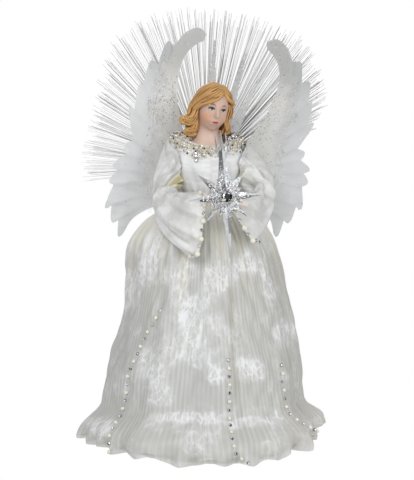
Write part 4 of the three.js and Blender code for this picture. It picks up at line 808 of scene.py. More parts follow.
def bodice_point(angle, share, outward=0.0):
    """Points of the bodice; its top edge dips in front and rises behind."""
    width = curve_at(BODICE_ROWS, BODICE_WIDTH, share) * BODICE_HALF_WIDTH + outward
    depth = curve_at(BODICE_ROWS, BODICE_DEPTH, share) * BODICE_HALF_DEPTH + outward
    front, back = np.clip(np.cos(angle), 0, 1) ** 2, np.clip(-np.cos(angle), 0, 1) ** 2
    z = BODICE_BOTTOM + BODICE_HEIGHT * (front * TOP_FRONT + back * TOP_BACK + (1 - front - back)) * share
    return np.stack([width * np.sin(angle) + 0 * z, -depth * np.cos(angle) + 0 * z, z], axis=-1)


def girth_grid(columns, rows):
    """Angles once round the body, and shares up."""
    angle = np.linspace(0, math.tau, columns, endpoint=False)[:, None]
    return np.broadcast_arrays(angle, np.linspace(0, 1, rows)[None, :])


def bodice(look):
    columns, rows = 180, 60
    angle, share = girth_grid(columns, rows)
    crease = ripple(angle, share, 71, (7, 18), (1, 7), 9) * 0.5 * (1 - smooth(share, 0.8, 1))
    tucks = np.cos(31 * angle + np.sin(2 * angle)) * 0.45 * (1 - smooth(share, 0.05, 0.45))
    piece = put("bodice_satin", "bodice", bodice_point(angle, share, crease + tucks - 0.2),
                grid_faces(columns, rows, True), [look], spread(angle / math.tau, share))


def waist_band(look):
    columns, rows = 160, 9
    angle, share = girth_grid(columns, rows)
    swell = np.sin(share * math.pi) * 0.8 + np.cos(3 * math.pi * share) * 0.15
    outward = 0.7 + swell + 0.2 * ripple(angle, share, 73, (8, 20), (0, 3))
    piece = put("waist_sash", "waist_band", bodice_point(angle, 0.01 + 0.12 * share, outward),
                grid_faces(columns, rows, True), [look], spread(angle / math.tau, share))


def collar(beads, draw):
    """Five rows of seed beads and stones along the top edge, two over the shoulders."""
    columns, rows, row_step = 54, 5, 0.04
    for k in range(columns):
        angle = math.tau * k / columns
        over_shoulder = abs(math.sin(angle)) > 0.88
        for row in range(2 if over_shoulder else rows):
            share = 1 - row * row_step - (0.03 if k % 2 and row == 4 else 0)
            a = angle + draw.uniform(-0.03, 0.03) + (row % 2) * 0.07
            share = min(share + draw.uniform(-0.006, 0.006), 1.0)
            place = bodice_point(a, share, 0.9 + 0.4 * math.sin(row))
            out = Vector((math.sin(a), -math.cos(a), 0.35 + row * 0.05)).normalized()
            if row % 2 == 0 and (k + row // 2) % 2 == 0:
                beads.add(brilliant(1.2, 1.2), place, out, STONE_SLOT, None, 0.04)
            elif row == 1 and k % 3 == 0:
                beads.add(ball(1.15, 5, 8), place + np.array(out) * 0.4, out, PEARL_SLOT, PEARL)
            else:
                color = [GOLD, GOLD, SILVER, SILVER, DARK_BEAD, DARK_BEAD][draw.randint(6)]
                seed_bead = ball(draw.uniform(0.75, 1.05), 5, 7)
                beads.add(seed_bead, place + np.array(out) * 0.3, out, STONE_SLOT, color)


def shoulder_beads(beads, draw):
    """Three rows inside the collar, where it lies flat over the shoulders."""
    step, first, last = 4.5, 34, 150
    for degrees in np.arange(first, last, step):
        for side in (-1, 1):
            for row in (1, 2, 3):
                a = side * (math.radians(degrees) + row * 0.03)
                place = bodice_point(a, 1.0, 0.4 - 1.6 * row) + np.array((0, 0, 0.9 * row))
                color = [GOLD, SILVER, SILVER, DARK_BEAD][draw.randint(4)]
                if (row + round(degrees / step)) % 3 == 0:
                    out = (math.sin(a) * 0.5, -0.7, 0.7)
                    beads.add(brilliant(1.2, 1.2), place, out, STONE_SLOT, None, 0.04)
                else:
                    beads.add(ball(draw.uniform(0.85, 1.1), 5, 7), place, (0, -0.7, 0.7), STONE_SLOT, color)


def neck_drop(beads):
    """The pendant of beads and three stones under the collar: places across and down."""
    places = [(-4.5, 0), (0, 0), (4.5, 0), (-2.5, 2.2), (2.5, 2.2), (0, 2.4), (-1.2, 4.6), (1.2, 4.6), (0, 7)]
    middle, stones = math.radians(-21), (1, 5, 8)
    for step, (aside, down) in enumerate(places):
        a = middle + aside / 24
        place = bodice_point(a, 0.84 - down / 52, 1.1)
        out = Vector((math.sin(a), -math.cos(a), 0.3)).normalized()
        if step in stones:
            beads.add(brilliant(1.4, 1.4), place, out, STONE_SLOT, None, 0.04)
        else:
            color = GOLD if step % 2 else SILVER
            beads.add(ball(1.15, 6, 8), place + np.array(out) * 0.3, out, STONE_SLOT, color)


def tape(beads, path):
    """A narrow woven tape under the beads, drawn along the path."""
    half_width, lift, swell = 2.2, 0.3, 0.3
    run = np.gradient(path, axis=0)
    out = path * (1, 1, 0)
    out /= np.linalg.norm(out, axis=1)[:, None]
    side = np.cross(run, out)
    side /= np.linalg.norm(side, axis=1)[:, None]
    low = path + out * lift
    rows = [low - side * half_width, path + out * (lift + swell), low + side * half_width]
    count = len(path)
    starts = [j * count + i for j in range(2) for i in range(count - 1)]
    faces = [(a, a + 1, a + 1 + count, a + count) for a in starts]
    beads.join(np.concatenate(rows), faces, TAPE_TONE, TAPE_SLOT)


def neckline(looks):
    """Band of seed beads, small stones and a drop in front, along the top edge of the bodice."""
    beads = Beads(81)
    draw = np.random.RandomState(82)
    collar(beads, draw)
    shoulder_beads(beads, draw)
    neck_drop(beads)
    angle = np.linspace(0, math.tau, 121)
    for share in (0.985, 0.91):
        tape(beads, bodice_point(angle, share + 0 * angle, 0.1))
    beads.finish("neckline_beads", "neckline_braid", looks["braid"], PEARL_SLOT)


# Sleeves: the lines along their outer and inner edges from the shoulder, in shares of the arm's reach

SLEEVES = {
    "left": {
        "outer": [[-0.02, 0.02, 0.14], [0.06, 0.01, 0.03], [0.125, -0.03, -0.12], [0.168, -0.09, -0.28],
                  [0.175, -0.18, -0.44], [0.15, -0.28, -0.59], [0.125, -0.38, -0.71], [0.07, -0.5, -0.82],
                  [-0.01, -0.6, -0.91], [-0.1, -0.64, -0.97]],
        "inner": [[0.01, -0.02, -0.17], [0.01, -0.06, -0.19], [0.01, -0.11, -0.24], [0.01, -0.17, -0.29],
                  [0.01, -0.25, -0.33], [0, -0.34, -0.35], [-0.01, -0.43, -0.365], [-0.035, -0.53, -0.38],
                  [-0.09, -0.61, -0.39], [-0.15, -0.64, -0.4]],
        "girth": [0.14, 0.15, 0.15, 0.14, 0.13, 0.12, 0.11, 0.1, 0.1, 0.1],
        "elbow": 0.42, "fold_seed": 91, "bead_seed": 101,
        # crook: strength, start and stop of the painted warm shade in the crook of the arm
        "mouth_shift": 7, "mouth_skew": (0.5, 0), "lap": 13, "crook": (1, 0.16, 0.52),
    },
    "right": {
        "outer": [[-0.02, 0.02, 0.14], [0.11, 0.01, 0.05], [0.2, -0.01, -0.06], [0.24, -0.06, -0.2],
                  [0.23, -0.15, -0.35], [0.19, -0.25, -0.5], [0.13, -0.36, -0.63], [0.06, -0.48, -0.72],
                  [-0.01, -0.58, -0.79], [-0.08, -0.63, -0.83]],
        "inner": [[0.01, -0.02, -0.17], [0.015, -0.05, -0.18], [0.02, -0.1, -0.22], [0.025, -0.17, -0.26],
                  [0.02, -0.25, -0.3], [0, -0.34, -0.34], [-0.02, -0.43, -0.36], [-0.05, -0.53, -0.38],
                  [-0.11, -0.61, -0.39], [-0.17, -0.64, -0.4]],
        "girth": [0.14, 0.16, 0.17, 0.16, 0.14, 0.12, 0.11, 0.1, 0.1, 0.1],
        "elbow": 0.4, "fold_seed": 95, "bead_seed": 105,
        "mouth_shift": 12, "mouth_skew": (9, 7), "lap": 15, "crook": (0.3, 0.15, 0.45),
    },
}
CLOTH_GAP = 0.9


def sleeve_rings(side, stations, angle):
    """Rings round the sleeve: wide ovals between its outer and inner edge."""
    lines = SLEEVES[side]
    flip = np.array([SIGN[side], 1, 1])
    shoulder = np.array([SIGN[side] * BODICE_HALF_WIDTH * 0.93, 0, SHOULDER_HEIGHT])
    outer, inner = (shoulder + through(lines[e], stations) * flip * ARM_REACH for e in ("outer", "inner"))
    girth = through(lines["girth"], stations) * ARM_REACH
    middle = (outer + inner) / 2
    run = np.gradient(middle, axis=0)
    run /= np.linalg.norm(run, axis=1)[:, None]
    half = np.linalg.norm(outer - inner, axis=1) / 2
    long = (outer - inner) / (2 * half)[:, None]
    wide = np.cross(run, long)
    wide /= np.linalg.norm(wide, axis=1)[:, None]
    push = sleeve_folds(side, angle[None, :], stations[:, None])
    a = (half[:, None] + push) * np.cos(angle)
    b = (girth[:, None] + push) * np.sin(angle)
    return middle[:, None, :] + a[..., None] * long[:, None, :] + b[..., None] * wide[:, None, :]


def sleeve_folds(side, angle, station):
    """Drag folds that fan out from the elbow and soft ripples down the arm."""
    bend, seed = SLEEVES[side]["elbow"], SLEEVES[side]["fold_seed"]
    inside = (1 - np.cos(angle)) / 2
    near = bell(station, bend, 0.16)
    fan = np.sin((station - bend) * 38 + 3.2 * np.sin(angle) + 1) * near * (0.3 + inside) * 2.4
    long = ripple(angle, station, seed, (3, 8), (3, 9), 9) * 1.4 * smooth(station, 0.05, 0.3)
    fine = ripple(angle, station, seed + 1, (9, 20), (8, 26), 9) * 0.28
    head = np.cos(13 * angle) * 0.55 * (1 - smooth(station, 0.02, 0.2))
    return (fan + long + fine + head) * (1 - 0.5 * smooth(station, 0.85, 1)) - 0.9


def turn_cuff(rings, stations, side):
    """Laps the front of the upper arm over the bodice and turns the mouth edge-on: its near edge moves in."""
    shape, inwards = SLEEVES[side], -SIGN[side]
    middle = rings.mean(axis=1)[:, None, :]
    near = middle[..., 1] - rings[..., 1]
    front = np.clip(near / 9 + 0.35, -0.3, 1.2)
    top = (rings[..., 2] - middle[..., 2]) / 20
    upper_skew, lower_skew = shape["mouth_skew"]
    slant = np.where(top > 0, upper_skew * np.clip(top, 0, 1), lower_skew * np.clip(top, -1, 0))
    upper_arm = (smooth(stations, 0.0, 0.1) * (1 - smooth(stations, 0.3, 0.55)))[:, None]
    move = shape["mouth_shift"] * smooth(stations, 0.6, 1)[:, None] * front
    move = move + slant * smooth(stations, 0.75, 1)[:, None]
    move = move + shape["lap"] * upper_arm * np.clip(front, 0, 1)
    return rings + (inwards * move)[..., None] * (1, 0, 0)


def clear_of_body(points):
    """Keeps sleeve cloth outside the bodice and the gown."""
    x, y, z = points[..., 0], points[..., 1], points[..., 2]
    angle = np.arctan2(x, -y)
    low = np.clip(z / WAIST_HEIGHT, 0, 1)
    folds = fold_wave(angle) * curve_at(ROWS, FOLDS, low) * FOLD_DEPTH
    skirt = skirt_radius(angle, low) + folds + CLOTH_GAP + 1.2
    body = bodice_point(angle, np.clip((z - BODICE_BOTTOM) / BODICE_HEIGHT, 0, 1), CLOTH_GAP)
    chest = np.hypot(body[..., 0], body[..., 1]) * (z < BODICE_BOTTOM + BODICE_HEIGHT)
    need = np.where(z < WAIST_HEIGHT, skirt, chest)
    here = np.hypot(x, y)
    grow = np.where(here < need, need / np.maximum(here, 1), 1)
    return np.stack([x * grow, y * grow, z], axis=-1)


def crook_shade_marks(side, angle, stations):
    """Painted warm shade on the satin, in the crook of the elbow."""
    strength, start, stop = SLEEVES[side]["crook"]
    crook = smooth(-np.cos(angle), 0.35, 0.9)[:, None] * strength
    return crook * smooth(stations, start, start + 0.15) * (1 - smooth(stations, stop - 0.12, stop))


def sleeves(look, looks):
    count, sides, sleeve_length = 130, 120, 0.125
    stations, angle = np.linspace(0, 1, count), np.linspace(0, math.tau, sides, endpoint=False)
    for side in SIGN:
        rings = clear_of_body(turn_cuff(sleeve_rings(side, stations, angle), stations, side))
        crook = crook_shade_marks(side, angle, stations)
        uv = spread(np.linspace(0, 1, sides)[:, None], stations)
        piece = put(f"sleeve_satin_{side}", f"sleeve_{side}", np.swapaxes(rings, 0, 1),
                    grid_faces(sides, count, True), [look], uv, np.stack([crook] * 3, axis=-1))
        cuff(side, rings[-1], rings[-6], looks)


def cuff(side, edge, before, looks):
    """Pearls and stones round the mouth of the sleeve, on a narrow tape."""
    beads = Beads(SLEEVES[side]["bead_seed"])
    centre = edge.mean(axis=0)
    ring = edge * 0.55 + before * 0.45

    def outward(place):
        out = Vector((place - centre) * (1, 0.4, 1))
        return (out.normalized() + Vector((0, -0.75, 0))).normalized()

    bead_line(beads, along(np.concatenate([ring, ring[:1]]), CUFF_SPACING)[:-1], outward,
              {"radius": 2.6, "out": 1.8}, {"size": (1.8, 1.7), "out": 0.6})
    rows = [edge + (edge - centre) * 0.012, before + (before - centre) * 0.012]
    beads.join(np.concatenate(rows), ring_faces(1, len(edge)), CUFF_TAPE_TONE, TAPE_SLOT)
    beads.finish(f"cuff_beads_{side}", f"cuff_trim_{side}", looks["trim"], PEARL_SLOT)


# Sculpted solids

def cells_round(at, others):
    """The four cells round each crossed edge, one after the other."""
    for back in ((0, 0), (1, 0), (1, 1), (0, 1)):
        cell = at.copy()
        cell[:, others] -= back
        yield tuple(cell.T)


def crossings(field, axis):
    """Grid edges along an axis that cross the surface, with where they cross it and which end is inside."""
    low, high = [slice(None)] * 3, [slice(None)] * 3
    low[axis], high[axis] = slice(None, -1), slice(1, None)
    a, b = field[tuple(low)], field[tuple(high)]
    at = np.argwhere((a < 0) != (b < 0))
    start, stop = a[tuple(at.T)], b[tuple(at.T)]
    place = at.astype(float)
    place[:, axis] += start / (start - stop)
    others = [k for k in range(3) if k != axis]
    inner = np.all([(at[:, k] > 0) & (at[:, k] < field.shape[k] - 1) for k in others], axis=0)
    return others, at[inner], place[inner], start[inner] < 0


def surface_net(field, origin, step):
    """Mesh of the zero level of a field on a grid, with one point in each cell that it crosses."""
    cells = np.array(field.shape) - 1
    total, hits = np.zeros((*cells, 3)), np.zeros(cells)
    found = [crossings(field, axis) for axis in range(3)]
    for others, at, place, _ in found:
        for cell in cells_round(at, others):
            np.add.at(total, cell, place)
            np.add.at(hits, cell, 1)
    used = tuple(np.argwhere(hits > 0).T)
    index = -np.ones(cells, int)
    index[used] = np.arange(len(used[0]))
    faces = []
    for axis, (others, at, _, inside) in enumerate(found):
        quad = np.stack([index[cell] for cell in cells_round(at, others)], axis=-1)
        flip = inside != (axis == 1)
        quad[~flip] = quad[~flip][:, ::-1]
        faces.append(quad)
    return total[used] / hits[used][:, None] * step + origin, np.concatenate(faces)


class Clay:
    """A field on a grid that solids are blended into, in the head's own shares."""

    def __init__(self, low, high, step):
        self.low, self.step = np.array(low, float), step
        size = np.ceil((np.array(high) - self.low) / step).astype(int) + 1
        self.field = np.full(size, 1.0)

    def window(self, low, high):
        a = np.clip(((np.array(low) - self.low) / self.step).astype(int), 0, np.array(self.field.shape) - 1)
        b = np.clip(((np.array(high) - self.low) / self.step).astype(int) + 2, 1, self.field.shape)
        slices = tuple(slice(i, j) for i, j in zip(a, b))
        axes = [self.low[k] + self.step * np.arange(a[k], b[k]) for k in range(3)]
        return slices, np.meshgrid(*axes, indexing="ij")

    def blend(self, slices, value, soft, carve=False):
        old = -self.field[slices] if carve else self.field[slices]
        share = np.clip(0.5 + 0.5 * (old - value) / soft, 0, 1)
        new = old + (value - old) * share - soft * share * (1 - share)
        self.field[slices] = -new if carve else new

    def ball(self, middle, half, soft=0.03, carve=False):
        middle, half = np.array(middle, float), np.array(half, float)
        slices, grid = self.window(middle - half - soft * 3, middle + half + soft * 3)
        shares = [(g - m) / h for g, m, h in zip(grid, middle, half)]
        far = np.sqrt(sum(s**2 for s in shares))
        slope = np.sqrt(sum((s / h) ** 2 for s, h in zip(shares, half)))
        self.blend(slices, far * (far - 1) / np.maximum(slope, 1e-6), soft, carve)

    def strand(self, line, radii, soft=0.012, steps=14, carve=False):
        """A rod along a smooth line, as tapered pieces from station to station."""
        stations = np.linspace(0, 1, steps)
        centres, sizes = through(np.array(line, float), stations), through(radii, stations)
        for a, b, size_a, size_b in zip(centres[:-1], centres[1:], sizes[:-1], sizes[1:]):
            reach = max(size_a, size_b) + soft * 3
            slices, grid = self.window(np.minimum(a, b) - reach, np.maximum(a, b) + reach)
            run = b - a
            share = np.clip(sum((g - p) * r for g, p, r in zip(grid, a, run)) / (run @ run), 0, 1)
            off = np.sqrt(sum((g - p - share * r) ** 2 for g, p, r in zip(grid, a, run)))
            self.blend(slices, off - (size_a + (size_b - size_a) * share), soft, carve)

    def mesh(self):
        return surface_net(self.field, self.low, self.step)


# Head

def head_matrix():
    bow, roll, yaw = (math.radians(a) for a in HEAD_TURN)
    turn = Matrix.Rotation(yaw, 3, "Z") @ Matrix.Rotation(roll, 3, "Y") @ Matrix.Rotation(bow, 3, "X")
    return np.array(turn)


def into_place(points):
    return points * HEAD_HEIGHT @ head_matrix().T + np.array(HEAD_PLACE)


def into_head(points):
    return (points - np.array(HEAD_PLACE)) @ head_matrix() / HEAD_HEIGHT


def hollowness(verts, faces):
    """How deep each point lies in a groove, from its neighbours."""
    edges = np.concatenate([faces[:, [k, (k + 1) % 4]] for k in range(4)])
    edges = np.concatenate([edges, edges[:, ::-1]])
    count = np.bincount(edges[:, 0], minlength=len(verts))[:, None]

    def average(values):
        total = np.zeros_like(values)
        np.add.at(total, edges[:, 0], values[edges[:, 1]])
        return total / count

    normal = np.zeros_like(verts)
    face_normal = np.cross(verts[faces[:, 2]] - verts[faces[:, 0]], verts[faces[:, 3]] - verts[faces[:, 1]])
    for k in range(4):
        np.add.at(normal, faces[:, k], face_normal)
    normal /= np.maximum(np.linalg.norm(normal, axis=1)[:, None], 1e-12)
    far = average(average(average(verts)))
    depth = ((far - verts) * normal).sum(axis=1)[:, None]
    return average(depth)[:, 0]


# Forms of the face in the head's shares: the middle, or the line, with sizes and how softly it blends
SKULL = ((0, 0.02, 0.1), (0.31, 0.36, 0.36), 0.05)
FACE_FRONT = ((0, -0.1, -0.02), (0.285, 0.265, 0.36), 0.05)
JAW = ((0, -0.14, -0.23), (0.19, 0.168, 0.145), 0.08)
CHIN = ((0, -0.245, -0.33), (0.07, 0.045, 0.045), 0.06)
CHEEK = ((0.135, -0.21, -0.11), (0.105, 0.1, 0.12), 0.07)
BROW_RIDGE = ((0.11, -0.305, 0.125), (0.1, 0.05, 0.03), 0.04)
FOREHEAD = ((0, -0.2, 0.2), (0.21, 0.15, 0.17), 0.06)
EYE_SOCKET = ((0.127, -0.385, 0.055), (0.065, 0.055, 0.036), 0.035)
EYEBALL = ((0.127, -0.295, 0.052), (0.062, 0.052, 0.038), 0.008)
NOSE_BRIDGE = ([(0, -0.35, 0.11), (0, -0.37, 0.03), (0, -0.415, -0.06)], [0.018, 0.019, 0.03], 0.03)
NOSE_TIP = ((0, -0.42, -0.068), (0.031, 0.028, 0.026), 0.02)
NOSTRIL = ((0.033, -0.39, -0.08), (0.02, 0.027, 0.019), 0.014)
MOUTH_MOUND = ((0, -0.32, -0.2), (0.1, 0.045, 0.075), 0.07)
UPPER_LIP_LINE = ([(-0.058, -0.34, -0.196), (0, -0.376, -0.187), (0.058, -0.34, -0.196)],
                  [0.006, 0.016, 0.006], 0.014)
LOWER_LIP_LINE = ([(-0.046, -0.34, -0.214), (0, -0.37, -0.226), (0.046, -0.34, -0.214)],
                  [0.006, 0.021, 0.006], 0.014)
MOUTH_GROOVE = ([(-0.06, -0.352, -0.201), (0, -0.394, -0.204), (0.06, -0.352, -0.201)],
                [0.004, 0.005, 0.004], 0.008)
UNDER_LIP = ((0, -0.364, -0.272), (0.055, 0.02, 0.015), 0.03)

# Neck and shoulder plate in millimetres: heights with radii, and places across
NECK = ((304, 9.8), (298, 9.6), (292, 9.9), (286, 11.2), (280, 13))
SHOULDER_PLATE = (-21, -11, 0, 11, 21)


def on_side(side, form):
    middle, half, soft = form
    return (side * middle[0], *middle[1:]), half, soft


def face_clay():
    clay = Clay((-0.95, -0.6, -1.12), (0.95, 0.72, 0.6), 0.0105)
    for form in (SKULL, FACE_FRONT, JAW, CHIN):
        clay.ball(*form)
    for side in (-1, 1):
        clay.ball(*on_side(side, CHEEK))
        clay.ball(*on_side(side, BROW_RIDGE))
    clay.ball(*FOREHEAD)
    for side in (-1, 1):
        clay.ball(*on_side(side, EYE_SOCKET), carve=True)
        clay.ball(*on_side(side, EYEBALL))
    clay.strand(*NOSE_BRIDGE)
    clay.ball(*NOSE_TIP)
    for side in (-1, 1):
        clay.ball(*on_side(side, NOSTRIL))
    clay.ball(*MOUTH_MOUND)
    clay.strand(*UPPER_LIP_LINE)
    clay.strand(*LOWER_LIP_LINE)
    clay.strand(*MOUTH_GROOVE, carve=True)
    clay.ball(*UNDER_LIP, carve=True)
    return clay


def neck_clay(clay):
    """Neck and shoulder plate, given in the model's frame and carried into the head's."""
    for z, radius in NECK:
        lean = max(0, (z - 284) * 0.28)
        place = into_head(np.array([max(0, z - 290) / 10, -lean - 2, z]))
        clay.ball(place, np.array([radius, radius * 0.95, radius * 0.9]) / HEAD_HEIGHT, 0.1)
    for x in SHOULDER_PLATE:
        place = into_head(np.array([x, -2, 275.5 - abs(x) * 0.1]))
        clay.ball(place, np.array([11.5, 15, 7.5]) / HEAD_HEIGHT, 0.12)


SKIN, SKIN_PALE = np.array([0.6, 0.415, 0.335]), (0.68, 0.5, 0.41)
BLUSH, LOWER_LIP, LIP = (0.66, 0.33, 0.19), (0.62, 0.17, 0.15), np.array([0.43, 0.02, 0.03])
BROW, DARK, WHITE = np.array([0.17, 0.085, 0.045]), (0.02, 0.012, 0.01), (0.86, 0.82, 0.79)
# Blushes: their middle and reach, across and up, with their softness and strength
BLUSHES = [((-0.2, -0.13), (0.1, 0.09), 0.8, 0.75), ((0.19, -0.12), (0.1, 0.08), 0.8, 0.35),
           ((0, -0.075), (0.04, 0.03), 0.6, 0.3)]
FACE_TURN = 5


def lay(base, color, share):
    """Lays a color over the base, by a share for each point."""
    return base + (np.array(color) - base) * share[:, None]


def within(far, low, high):
    return 1 - smooth(far, low, high)


def paint_mouth(tint, x, y, z):
    lips = smooth(-y, 0.29, 0.32)
    aside = np.abs(x) / 0.07
    full = np.sqrt(np.clip(1 - aside**2, 0.02, 1))
    full_below = np.clip(1 - (aside * 1.15) ** 2, 0.02, 1)
    bow = 0.004 * np.cos(x / 0.07 * 7)
    upper = within(np.abs(z + 0.192 + 0.006 * aside + bow) / (0.017 * full), 0.75, 1.15)
    lower = within(np.abs(z + 0.217) / (0.017 * full_below), 0.75, 1.15)
    line = within(np.abs(z + 0.203) / 0.006, 0.6, 1.3) * within(aside, 0.8, 1.05)
    for color, share in ((LOWER_LIP, lower), (LIP, upper), (LIP * 0.4, line)):
        tint = lay(tint, color, share * lips)
    return tint


def paint_eye(tint, x, z, front):
    """An eye with its lashes, lid and brow; x counts outwards from the middle of the face."""
    u = (x - 0.127) / 0.058
    arch = 0.062 + 0.02 * (1 - u**2)
    floor = 0.028 + 0.012 * u**2
    inside = within(np.abs(u), 0.85, 1.05) * front
    eye = smooth(arch - z, 0.0, 0.006) * smooth(z - floor, 0, 0.008) * inside
    iris = within(np.hypot((x - 0.122) / 0.038, (z - 0.066) / 0.03), 0.8, 1.1)
    pupil = within(np.hypot(x - 0.122, z - 0.066) / 0.029, 0.8, 1.2)
    lashes = within(np.abs(z - arch + 0.002) / 0.018, 0.6, 1.2) * within(np.abs(u), 0.95, 1.2) * front
    under = within(np.abs(z - floor) / 0.005, 0.6, 1.4) * inside * 0.3
    lid = within(np.abs(z - arch - 0.03) / 0.022, 0.4, 1.2) * inside * 0.35
    v = (x - 0.12) / 0.062
    thin = 0.0125 * (1.15 - np.abs(v) * 0.6)
    brow = within(np.abs(z - 0.128 - 0.03 * (1 - v**2)) / thin, 0.6, 1.2) * within(np.abs(v), 0.8, 1.1)
    coats = [(WHITE, eye), (BROW * 0.2, iris * eye), (DARK, pupil * eye), (DARK, lashes), (BROW, under),
             (SKIN * 0.6, lid), (BROW * 0.45, brow * front * 0.9)]
    for color, share in coats:
        tint = lay(tint, color, share)
    return tint


def paint_face(points, depth):
    x, y, z = points.T
    front = smooth(-y, 0.15, 0.25)
    tint = lay(np.tile(SKIN_PALE, (len(points), 1)), SKIN, smooth(z, -0.6, -0.3))
    # Painted shade in the hollows of the face, from how deep each point lies.
    tint = lay(tint, SKIN * 0.7, smooth(depth, 0.001, 0.006) * 0.6)
    for (across, up), (wide, high), edge, strength in BLUSHES:
        far = np.hypot((x - across) / wide, (z - up) / high)
        tint = lay(tint, BLUSH, within(far, 1 - edge, 1 + edge) * front * strength)
    tint = paint_mouth(tint, x, y, z)
    for side in (-1, 1):
        tint = paint_eye(tint, x * side, z, front)
    return tint


def bust():
    """Head, neck and shoulder plate; the face turns a little on the neck."""
    clay = face_clay()
    neck_clay(clay)
    verts, faces = clay.mesh()
    tint = paint_face(verts, hollowness(verts, faces))
    turn = math.radians(FACE_TURN) * smooth(verts[:, 2], -0.6, -0.35)
    x, y, z = verts.T
    turned = np.stack([x * np.cos(turn) - y * np.sin(turn), x * np.sin(turn) + y * np.cos(turn), z], axis=-1)
    skin = tinted_look("porcelain", 0.38, 0.0, (700, 2), (0.04, 0.1), Specular_IOR_Level=0.45,
                       Subsurface_Weight=0.08, Subsurface_Scale=0.002)
    put("bust_skin", "bust_casting", into_place(turned), faces, [skin.material], None, tint)
    hair()


# Locks of hair in the head's shares: guides from the parting at the front round to the back
LEFT_GUIDES = [
    [(0.11, -0.21, 0.395), (0.05, -0.295, 0.355), (-0.03, -0.345, 0.285), (-0.155, -0.338, 0.21),
     (-0.27, -0.27, 0.14), (-0.335, -0.17, 0.04), (-0.36, -0.1, -0.1)],
    [(0.1, -0.15, 0.44), (0.01, -0.25, 0.425), (-0.1, -0.3, 0.36), (-0.22, -0.27, 0.27),
     (-0.33, -0.17, 0.15), (-0.39, -0.07, 0), (-0.4, -0.02, -0.14)],
    [(0.08, -0.05, 0.485), (-0.04, -0.14, 0.49), (-0.17, -0.18, 0.435), (-0.29, -0.13, 0.32),
     (-0.38, -0.03, 0.17), (-0.42, 0.04, 0), (-0.43, 0.06, -0.16)],
    [(0.05, 0.06, 0.505), (-0.08, 0.03, 0.52), (-0.2, 0.03, 0.45), (-0.32, 0.09, 0.33),
     (-0.385, 0.16, 0.17), (-0.41, 0.19, -0.02), (-0.42, 0.19, -0.2)],
    [(0.03, 0.2, 0.49), (-0.05, 0.27, 0.46), (-0.12, 0.34, 0.38), (-0.19, 0.4, 0.24), (-0.23, 0.42, 0.06),
     (-0.26, 0.41, -0.14), (-0.27, 0.38, -0.32)],
    [(0.02, 0.25, 0.47), (0, 0.37, 0.37), (0, 0.44, 0.22), (0, 0.46, 0.05), (0, 0.45, -0.15),
     (0, 0.41, -0.36), (0, 0.37, -0.56)],
]
RIGHT_GUIDES = [
    [(0.12, -0.2, 0.4), (0.19, -0.245, 0.33), (0.27, -0.22, 0.27), (0.35, -0.13, 0.235),
     (0.42, -0.05, 0.2), (0.44, -0.04, 0.18), (0.455, -0.03, 0.165)],
    [(0.12, -0.12, 0.455), (0.2, -0.16, 0.4), (0.28, -0.13, 0.33), (0.35, -0.06, 0.24), (0.38, 0.01, 0.11),
     (0.38, 0.03, 0), (0.37, 0.04, -0.12)],
    [(0.1, -0.02, 0.49), (0.19, -0.05, 0.45), (0.28, -0.02, 0.37), (0.35, 0.05, 0.25), (0.39, 0.11, 0.1),
     (0.39, 0.13, -0.03), (0.38, 0.13, -0.16)],
    [(0.07, 0.08, 0.5), (0.16, 0.08, 0.47), (0.25, 0.12, 0.38), (0.32, 0.18, 0.25), (0.36, 0.23, 0.08),
     (0.36, 0.24, -0.06), (0.36, 0.24, -0.2)],
    [(0.04, 0.2, 0.49), (0.1, 0.26, 0.45), (0.16, 0.33, 0.36), (0.21, 0.37, 0.22), (0.245, 0.38, 0.05),
     (0.255, 0.37, -0.12), (0.26, 0.35, -0.28)],
    [(0.02, 0.25, 0.47), (0, 0.37, 0.37), (0, 0.44, 0.22), (0, 0.46, 0.05), (0, 0.45, -0.15),
     (0, 0.41, -0.36), (0, 0.37, -0.56)],
]
GUIDE_MARKS = [0, 0.25, 0.5, 0.75, 1, 1.4]

